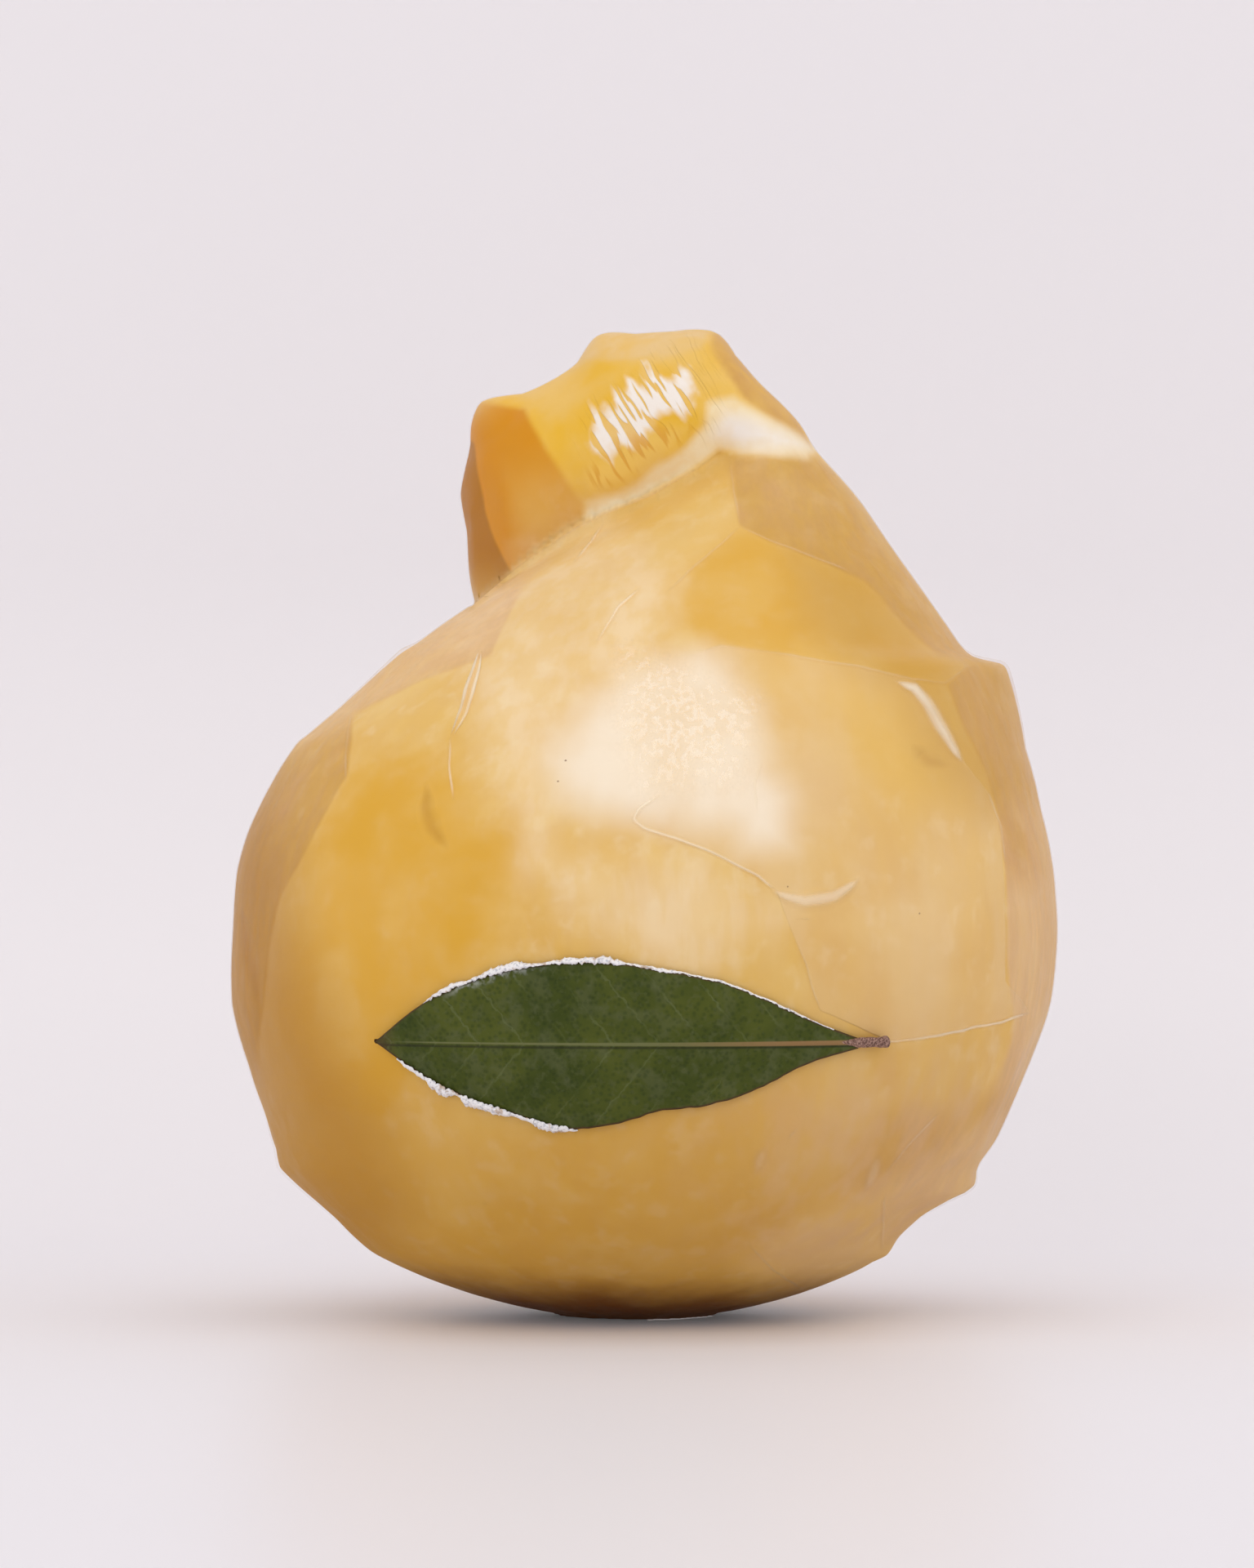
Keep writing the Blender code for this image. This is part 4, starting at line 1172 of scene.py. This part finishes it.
# painted shade on the dark side of the dents
dent_shade = tree.math("MAXIMUM", tree.times(relief["Line"], -1.0), 0.0)
colour = tree.layered(colour, (tree.times(specks, 0.75), SPECK_BROWN_AND_FOOT_SHADE), (dent_shade, HEAD_BROWN_AND_DENT_SHADE))
dull_head = tree.ramp(head_mask, 0.0, 1.0, 1.0, 0.40)
coat = tree.times(tree.ramp(height_mm, 8.0, 70.0, 0.0, 0.50), tree.ramp(haze, 0.0, 0.6, 1.0, 0.40), dull_head)
tree.put(shader.inputs["Base Color"], colour)
tree.put(shader.inputs["Normal"], tree.bump(relief["Height"]))
tree.put(shader.inputs["Roughness"], tree.ramp(fine, 0.3, 0.7, 0.42, 0.56))
tree.put(shader.inputs["Coat Weight"], coat)
shader.inputs["Specular IOR Level"].default_value = 0.04
shader.inputs["Coat Roughness"].default_value = 0.26

cheese.data.materials.append(smoked)
only(cheese)
bpy.ops.object.shade_smooth()
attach(cheese, "root")
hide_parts("provola")
print("cheese coloured")

# %% [markdown]
# Clear film is mostly not there. Its Alpha says how much of a pale glossy sheet is seen: a trace
# everywhere, more where it lies double, most on the creases, and more again towards the silhouette,
# where one looks along the sheet. Thin film throws no shadow to speak of, so that is switched off.

# %% Clear film
FILM_TINT = (0.750, 0.500, 0.280)
FILM_SHADE = (0.550, 0.290, 0.080)
FILM_CREAM = (0.930, 0.760, 0.480)
FILM_HIGHLIGHT = (0.990, 0.900, 0.740)
FILM_CREASE_AND_GLINT = (0.980, 0.890, 0.690)

clear, tree, shader = new_material("clear_film")
place = tree.place()
relief = tree.group(relief_group, Vector=place)
haze = tree.times(relief["Haze"], tree.ramp(relief["Streaks"], 0.35, 0.65, 0.05, 0.17))
pale = tree.times(relief["Pale"], 0.07)
flecks = tree.noise(tree.stretched(place, (0, 20, 0), (1.0, 1.0, 0.5)), 1050.0, 2.0)
# painted glints: pale flecks in the middle of the painted highlight
highlight_bloom = tree.times(tree.attribute("crackled_glints"), tree.ramp(flecks, 0.42, 0.68, 0.0, 0.60))
line = tree.math("MAXIMUM", relief["Line"], 0.0)
grazing = tree.math("POWER", tree.node("ShaderNodeLayerWeight").outputs["Facing"], 3.0)
off_floor = tree.ramp(tree.node("ShaderNodeSeparateXYZ", Vector=place).outputs["Z"], 4.0 * MM, 36.0 * MM)
veil = tree.times(tree.plus(0.02, haze, tree.times(grazing, 0.08)), off_floor)
seen = tree.math("MINIMUM", tree.plus(veil, pale, highlight_bloom, line), 0.92)
tint = tree.layered(
    FILM_TINT,
    # painted shade on the film's left side
    (tree.attribute("shaded_left"), FILM_SHADE),
    (tree.math("DIVIDE", pale, tree.plus(pale, haze, 0.02)), FILM_CREAM),
    (tree.ramp(highlight_bloom, 0.0, 0.20), FILM_HIGHLIGHT),
    # partly painted highlight: the pale tint of the creases
    (tree.ramp(line, 0.02, 0.30), FILM_CREASE_AND_GLINT),
)
tree.put(shader.inputs["Base Color"], tint)
tree.put(shader.inputs["Normal"], tree.bump(relief["Folds"]))
shader.inputs["Roughness"].default_value = 0.30
shader.inputs["Specular IOR Level"].default_value = 0.20
tree.put(shader.inputs["Alpha"], seen)

film.data.materials.append(clear)
only(film)
bpy.ops.object.shade_smooth()
film.visible_shadow = False
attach(film, "root")
print("film made")

# %% [markdown]
# ## The bay leaf
# A bay leaf is long and pointed, with a wavy edge, a pale raised midrib and thin veins that slant
# towards the tip. It starts as a flat grid of its own length and width. Each column is then squeezed to
# the leaf's outline, and every point is laid on the cheese along the leaf's height. A solidify modifier
# gives it its thickness at the end.

# %% Leaf outline
LEAF_TIP_X = -37.8 * MM
LEAF_BASE_X = 29.2 * MM
STALK_END_X = 33.1 * MM
LEAF_HEIGHT = 41.9 * MM
SHIFT = Vector((0.24, 0.85, 0.0)) * MM  # from the maker's axis to the model's origin
HALF_WIDTHS = {
    1: (0.1, 5.6, 8.9, 10.8, 11.6, 11.4, 10.4, 9.1, 6.6, 3.4, 0.75),
    -1: (0.1, 4.7, 8.0, 10.1, 11.9, 11.1, 9.2, 8.4, 6.0, 2.7, 0.75),
}
LEAF_GAP = 0.35 * MM
LEAF_THICKNESS = 0.40 * MM
NIBBLE = 0.16  # how far the edge wanders, in mm
THINNEST = 0.08  # half the width at the very tip, in mm


def half_width(u, side):
    """Half the leaf's width at u, from 0 at the tip to 1 at the stalk, with a slack edge."""
    rows = np.array(HALF_WIDTHS[side])
    place = min(max(u, 0.0), 1.0) * (len(rows) - 1)
    i = min(int(place), len(rows) - 2)
    f = place - i
    before = rows[i - 1] if i > 0 else 2 * rows[0] - rows[1]
    after = rows[i + 2] if i + 2 < len(rows) else 2 * rows[-1] - rows[-2]
    slopes = (rows[i + 1] - before) / 2, (after - rows[i]) / 2
    smooth = (2 * f**3 - 3 * f**2 + 1) * rows[i] + (f**3 - 2 * f**2 + f) * slopes[0]
    smooth += (3 * f**2 - 2 * f**3) * rows[i + 1] + (f**3 - f**2) * slopes[1]
    wander = NIBBLE * noise.noise(Vector((u * 46.0, side * 3.0, 0.5)))
    return max(smooth + wander * min(1.0, 8 * u) * min(1.0, 6 * (1 - u)), THINNEST) * MM


print(f"leaf {1000 * (LEAF_BASE_X - LEAF_TIP_X):.0f} mm long, without its stalk")

# %% [markdown]
# To lay a thing on the cheese, a ray is cast at it from the front. Where the ray meets the film, the
# point is placed, moved out level by what the thing needs.

# %% Laying on the cheese
RAY_START = -0.2
RAY_WAY = Vector((0.0, 1.0, 0.0))
skin_tree = BVHTree.FromObject(film, bpy.context.evaluated_depsgraph_get())


def on_front(x, z, out):
    """The point of the cheese's front at x and z, moved out by a distance."""
    hit = skin_tree.ray_cast(Vector((x, RAY_START, z)), RAY_WAY)[0]
    lean = Vector((hit.x, hit.y, 0.0)).normalized()
    return hit + lean * out


print("front at the leaf's middle:", [round(c / MM, 1) for c in on_front(0.0, LEAF_HEIGHT, 0.0)])

# %% [markdown]
# The blade is rippled a little, its midrib stands up as a narrow ridge, the veins are fine grooves and
# the edge curls down. Each point also keeps its own measures for the material: millimetres along the
# leaf, across it, and in from the edge.

# %% Leaf blade
LEAF_COLUMNS, LEAF_ROWS = 180, 60
TIP_CROWDING = 1.15  # draws the columns towards the tip, where the outline turns fastest
BLADE_LIFT = 0.15
RIPPLE, FINE_RIPPLE = 0.10, 0.05
RIB_HEIGHT, RIB_HALF_WIDTH = 0.22, 0.45
VEIN_STEP, VEIN_SLANT, VEIN_DEPTH = 6.2, 0.8, 0.035
EDGE_CURL, CURL_START = 0.10, 0.8

bpy.ops.object.select_all(action="DESELECT")
bpy.ops.mesh.primitive_grid_add(
    x_subdivisions=LEAF_COLUMNS, y_subdivisions=LEAF_ROWS, size=1.0, location=(0, 0, 0)
)
leaf = bpy.context.active_object
leaf.name = "bay_leaf_blade"
along_leaf, across_leaf, to_edge = (
    leaf.data.attributes.new(name, "FLOAT", "POINT") for name in ("along", "across", "to_edge")
)
length = LEAF_BASE_X - LEAF_TIP_X
for v in leaf.data.vertices:
    u, share = v.co.x + 0.5, v.co.y * 2
    u = u**TIP_CROWDING if u < 0.5 else u
    width = half_width(u, 1 if share >= 0 else -1)
    offset = share * width
    ripple = RIPPLE * math.sin(9.0 * u + 2.4 * share)
    ripple += FINE_RIPPLE * noise.noise(Vector((u * 12.0, share * 3.0, 0.0)))
    rib = RIB_HEIGHT * math.exp(-((offset / (RIB_HALF_WIDTH * MM)) ** 2)) * (0.4 + 0.6 * u)
    vein = math.sin(2 * math.pi * (u * length + VEIN_SLANT * abs(offset)) / (VEIN_STEP * MM))
    curl = EDGE_CURL * max(0.0, abs(share) - CURL_START) / (1 - CURL_START)
    lift = ripple + rib - VEIN_DEPTH * max(0.0, vein) ** 8 - curl
    along_leaf.data[v.index].value = u * length / MM
    across_leaf.data[v.index].value = offset / MM
    to_edge.data[v.index].value = (width - abs(offset)) / MM
    out = LEAF_GAP + LEAF_THICKNESS + (BLADE_LIFT + lift) * MM
    v.co = on_front(LEAF_TIP_X + length * u + SHIFT.x, LEAF_HEIGHT + offset, out)
apply_modifier(leaf, "SOLIDIFY", thickness=LEAF_THICKNESS, offset=-1.0)
finish_surface(leaf)
tell(leaf, "leaf blade")

# %% [markdown]
# The leaf's green is dark and slightly grey on top. The midrib is pale green at the tip and turns tan
# towards the stalk, with a dark line under it, and the edge dries to brown. The veins come from a saw
# wave along the leaf, bent back by the distance across it.

# %% Leaf material
LEAF_DARK = (0.040, 0.058, 0.005)
LEAF_LIGHT = (0.080, 0.098, 0.012)
LEAF_GREY = (0.105, 0.120, 0.050)
LEAF_PORES = (0.018, 0.035, 0.004)
VEIN_GREEN = (0.13, 0.155, 0.055)
RIB_GREEN = (0.16, 0.17, 0.065)
RIB_TAN = (0.30, 0.17, 0.07)
RIB_SHADOW = (0.020, 0.022, 0.008)
DRY_EDGE = (0.075, 0.035, 0.015)
FROST = (0.42, 0.45, 0.40)

green, tree, shader = new_material("bay_leaf_green")
place = tree.place()
clouds = tree.group(clouds_group, Vector=place, Scale=110.0)
broad, fine = clouds["Broad"], clouds["Fine"]
along, across, edge = (tree.attribute(name) for name in ("along", "across", "to_edge"))
cell = tree.node("ShaderNodeTexVoronoi", Vector=place, Scale=1300.0).outputs["Distance"]

slanted = tree.plus(tree.times(tree.math("ABSOLUTE", across), VEIN_SLANT), along)
phase = tree.plus(tree.math("DIVIDE", slanted, VEIN_STEP), tree.times(fine, 0.25))
saw = tree.math("ABSOLUTE", tree.math("SUBTRACT", tree.math("FRACT", phase), 0.5))
veins = tree.times(tree.ramp(saw, 0.045, 0.010), tree.ramp(broad, 0.40, 0.65, 0.06, 0.55))
from_rib = tree.math("ABSOLUTE", tree.math("SUBTRACT", across, 0.12))
rib = tree.ramp(tree.math("SUBTRACT", from_rib, tree.ramp(along, 0.0, 67.0, 0.06, 0.30)), 0.12, -0.05)
rib_colour = tree.blend(tree.ramp(along, 36.0, 60.0), RIB_GREEN, RIB_TAN)
shadow_line = tree.ramp(tree.math("ABSOLUTE", tree.plus(across, 0.38)), 0.28, 0.05)
frost_zone = tree.times(
    tree.ramp(along, 9.0, 12.0), tree.ramp(along, 26.0, 18.0), tree.ramp(across, 2.0, 4.0)
)
frosty = tree.times(tree.times(tree.ramp(edge, 1.5, 0.3), frost_zone), tree.ramp(fine, 0.40, 0.60))
colour = tree.layered(
    LEAF_DARK,
    (tree.ramp(broad, 0.35, 0.68), LEAF_LIGHT),
    (tree.ramp(along, 22.0, 60.0, 0.0, 0.40), LEAF_LIGHT),
    (tree.ramp(clouds["Patchy"], 0.48, 0.66, 0.0, 0.40), LEAF_GREY),
    (tree.ramp(cell, 0.1, 0.6, 0.45, 0.0), LEAF_PORES),
    (tree.ramp(fine, 0.52, 0.66, 0.0, 0.30), LEAF_GREY),
    (veins, VEIN_GREEN),
    (tree.times(shadow_line, 0.65), RIB_SHADOW),
    (tree.times(rib, tree.ramp(along, 1.0, 9.0, 0.1, 0.9)), rib_colour),
    (tree.times(frosty, 0.8), FROST),
    (tree.times(tree.ramp(edge, 0.42, 0.12), 0.85), DRY_EDGE),
    (tree.times(tree.ramp(along, 3.5, 0.5), 0.6), DRY_EDGE),
)
grain = tree.plus(tree.times(cell, 0.05), tree.times(fine, 0.10))
height = tree.math("SUBTRACT", grain, tree.times(veins, 0.10))
tree.put(shader.inputs["Base Color"], colour)
tree.put(shader.inputs["Roughness"], tree.ramp(fine, 0.3, 0.7, 0.48, 0.62))
shader.inputs["Specular IOR Level"].default_value = 0.16
tree.put(shader.inputs["Normal"], tree.bump(height, 0.8))
leaf.data.materials.append(green)
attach(leaf, "root")
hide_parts("bay_leaf")
print("leaf coloured")

# %% [markdown]
# The stalk is a short woody stub, broken off where the leaf was picked. It starts as a cylinder that
# lies along the leaf, cut into rings. Each ring is then moved and swelled, so that the stalk bends with
# the cheese and ends in a rough, slightly thicker tip.

# %% Leaf stalk
STALK_RADIUS = 0.72 * MM
STALK_OVERLAP = 2.4 * MM  # how far it runs back under the blade
STALK_RINGS = 26
STALK_SIDES = 20
STALK_MIDDLE = 0.62 * MM  # how far its axis lies off the cheese, beyond the leaf's gap
STALK_LEAST = 0.1 * MM

bpy.ops.object.select_all(action="DESELECT")
stalk_length = STALK_END_X - LEAF_BASE_X + STALK_OVERLAP
bpy.ops.mesh.primitive_cylinder_add(
    vertices=STALK_SIDES, radius=STALK_RADIUS, depth=stalk_length, end_fill_type="TRIFAN",
    rotation=(0, math.radians(90), 0),
)
stalk = bpy.context.active_object
stalk.name = "bay_leaf_stalk"
bpy.ops.object.transform_apply(location=True, rotation=True, scale=True)
bpy.ops.object.mode_set(mode="EDIT")
for i in range(1, STALK_RINGS):
    bpy.ops.mesh.select_all(action="SELECT")
    spot = -stalk_length / 2 + stalk_length * i / STALK_RINGS
    bpy.ops.mesh.bisect(plane_co=(spot, 0, 0), plane_no=(1, 0, 0))
bpy.ops.object.mode_set(mode="OBJECT")
for v in stalk.data.vertices:
    t = v.co.x / stalk_length + 0.5
    spread = 0.30 + 0.70 * min(1.0, t * 2.6) + 0.22 * max(0.0, t - 0.8) / 0.2
    spread *= 1 + 0.14 * noise.noise(Vector((v.co.x / (0.9 * MM), v.co.y / (0.5 * MM), v.co.z / (0.5 * MM))))
    x = LEAF_BASE_X - STALK_OVERLAP + stalk_length * t
    out = LEAF_GAP + STALK_MIDDLE - v.co.y * spread
    v.co = on_front(x + SHIFT.x, LEAF_HEIGHT + 0.1 * MM + v.co.z * spread, max(out, STALK_LEAST))
finish_surface(stalk)
tell(stalk, "stalk")

# %% [markdown]
# Dry bark is dark brown in its pits and pinkish tan on its ridges, so one fine stain drives both the
# colour and the bump.

# %% Stalk bark
BARK_DARK = (0.115, 0.045, 0.028)
BARK_LIGHT = (0.46, 0.27, 0.21)

bark, tree, shader = new_material("leaf_stalk_bark")
clouds = tree.group(clouds_group, Vector=tree.place(), Scale=420.0)
colour = tree.blend(tree.ramp(clouds["Fine"], 0.35, 0.65), BARK_DARK, BARK_LIGHT)
tree.put(shader.inputs["Base Color"], colour)
shader.inputs["Roughness"].default_value = 0.5
tree.put(shader.inputs["Normal"], tree.bump(tree.times(clouds["Fine"], 0.35)))
stalk.data.materials.append(bark)
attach(stalk, "root")
print("stalk coloured")

# %% [markdown]
# ## The white edge
# Along the leaf's rim runs a white strip. It is a crumbly strip: a long grid, bent along the leaf's
# outline, with a lumpy top and a ragged outer side. Its width comes from a row of measures along the leaf,
# so that it is broad near the tip and runs out to a thread.

# %% White strips
# share of the leaf's length from the tip, and width in mm
UPPER_WHITE = ((0.10, 0.08), (0.125, 0.40), (0.16, 0.70), (0.19, 0.30), (0.225, 0.40), (0.245, 0.85),
               (0.30, 0.90), (0.325, 0.28), (0.37, 0.30), (0.40, 0.68), (0.44, 0.55), (0.475, 0.80),
               (0.50, 0.60), (0.52, 0.18), (0.56, 0.26), (0.60, 0.36), (0.64, 0.18), (0.72, 0.22),
               (0.80, 0.18), (0.86, 0.24), (0.92, 0.12), (0.95, 0.05))
LOWER_WHITE = ((0.045, 0.08), (0.07, 0.30), (0.11, 0.28), (0.12, 0.80), (0.15, 0.95), (0.165, 0.22),
               (0.18, 0.20), (0.19, 0.75), (0.23, 0.70), (0.27, 0.55), (0.29, 0.20), (0.325, 0.25),
               (0.34, 0.68), (0.38, 0.55), (0.40, 0.25), (0.42, 0.06))
STRIP_COLUMNS, STRIP_ROWS = 260, 8
STRIP_THICKNESS = 0.18 * MM
TUCKED = 0.45 * MM  # how far the strip reaches in over the leaf, at most
SLOPE_STEP = 0.012  # the outline's slope is taken over this share of the leaf, each way


def rough(u, grain, side, row):
    """Noise along the leaf at a grain, with a row of its own for each use."""
    return noise.noise(Vector((u * grain, side, row)))


def white_strip(name, side, widths):
    """A ragged white strip along one edge of the leaf."""
    bpy.ops.object.select_all(action="DESELECT")
    bpy.ops.mesh.primitive_grid_add(
        x_subdivisions=STRIP_COLUMNS, y_subdivisions=STRIP_ROWS, size=1.0, location=(0, 0, 0)
    )
    strip = bpy.context.active_object
    strip.name = name
    shares, sizes = zip(*widths)
    for v in strip.data.vertices:
        t, row = v.co.x + 0.5, v.co.y + 0.5
        u = shares[0] + (shares[-1] - shares[0]) * t
        width = float(np.interp(u, shares, sizes)) * MM
        width *= 1.0 + (rough(u, 90.0, side, 0.0) * 0.45 + rough(u, 260.0, side, 4.0) * 0.45)
        ahead, behind_it = half_width(u + SLOPE_STEP, side), half_width(u - SLOPE_STEP, side)
        slope = side * (ahead - behind_it) / (2 * SLOPE_STEP * length)
        outward = Vector((-slope, 1.0)).normalized() * side
        inside = min(width, TUCKED) * (0.5 + 1.1 * rough(u, 150.0, side, 9.0))
        reach = -inside + (width + inside) * row
        x = LEAF_TIP_X + length * u + outward.x * reach
        z = LEAF_HEIGHT + side * half_width(u, side) + outward.y * reach
        dome = math.sin(math.pi * min(1.0, 0.12 + row * 0.88)) ** 0.6
        lumps = 0.5 + 0.5 * noise.noise(Vector((x, z, side)) / (0.55 * MM))
        out = LEAF_GAP + (0.10 + (0.50 + 0.20 * lumps) * dome * min(1.0, width / (0.5 * MM))) * MM
        out += 0.30 * MM * (1 - row)
        v.co = on_front(x + SHIFT.x, z, out)
    apply_modifier(strip, "SOLIDIFY", thickness=STRIP_THICKNESS, offset=-1.0)
    finish_surface(strip)
    tell(strip, "white strip")
    return strip


upper_strip = white_strip("white_edge_along_top", 1, UPPER_WHITE)
lower_strip = white_strip("white_edge_along_bottom", -1, LOWER_WHITE)

# %% [markdown]
# The strip is chalky white with bluish grey in its low pits, painted there as shade, and here and there
# it turns tan. It is rough, like crumbs, and has no coat.

# %% White crumb
CRUMB_PITS = (0.56, 0.57, 0.62)
CRUMB_WHITE = (0.94, 0.93, 0.94)
CRUMB_TAN = (0.50, 0.34, 0.21)

paste, tree, shader = new_material("crumbly_white")
clouds = tree.group(clouds_group, Vector=tree.place(), Scale=260.0)
colour = tree.layered(
    CRUMB_PITS,
    (tree.ramp(clouds["Fine"], 0.32, 0.52), CRUMB_WHITE),
    (tree.ramp(clouds["Patchy"], 0.55, 0.66, 0.0, 0.75), CRUMB_TAN),
)
tree.put(shader.inputs["Base Color"], colour)
shader.inputs["Roughness"].default_value = 0.65
tree.put(shader.inputs["Normal"], tree.bump(tree.times(clouds["Fine"], 0.18)))

for strip, node in ((upper_strip, "white_edge_upper"), (lower_strip, "white_edge_lower")):
    strip.data.materials.append(paste)
    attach(strip, "root")
    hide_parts(node)
print("white edges coloured")
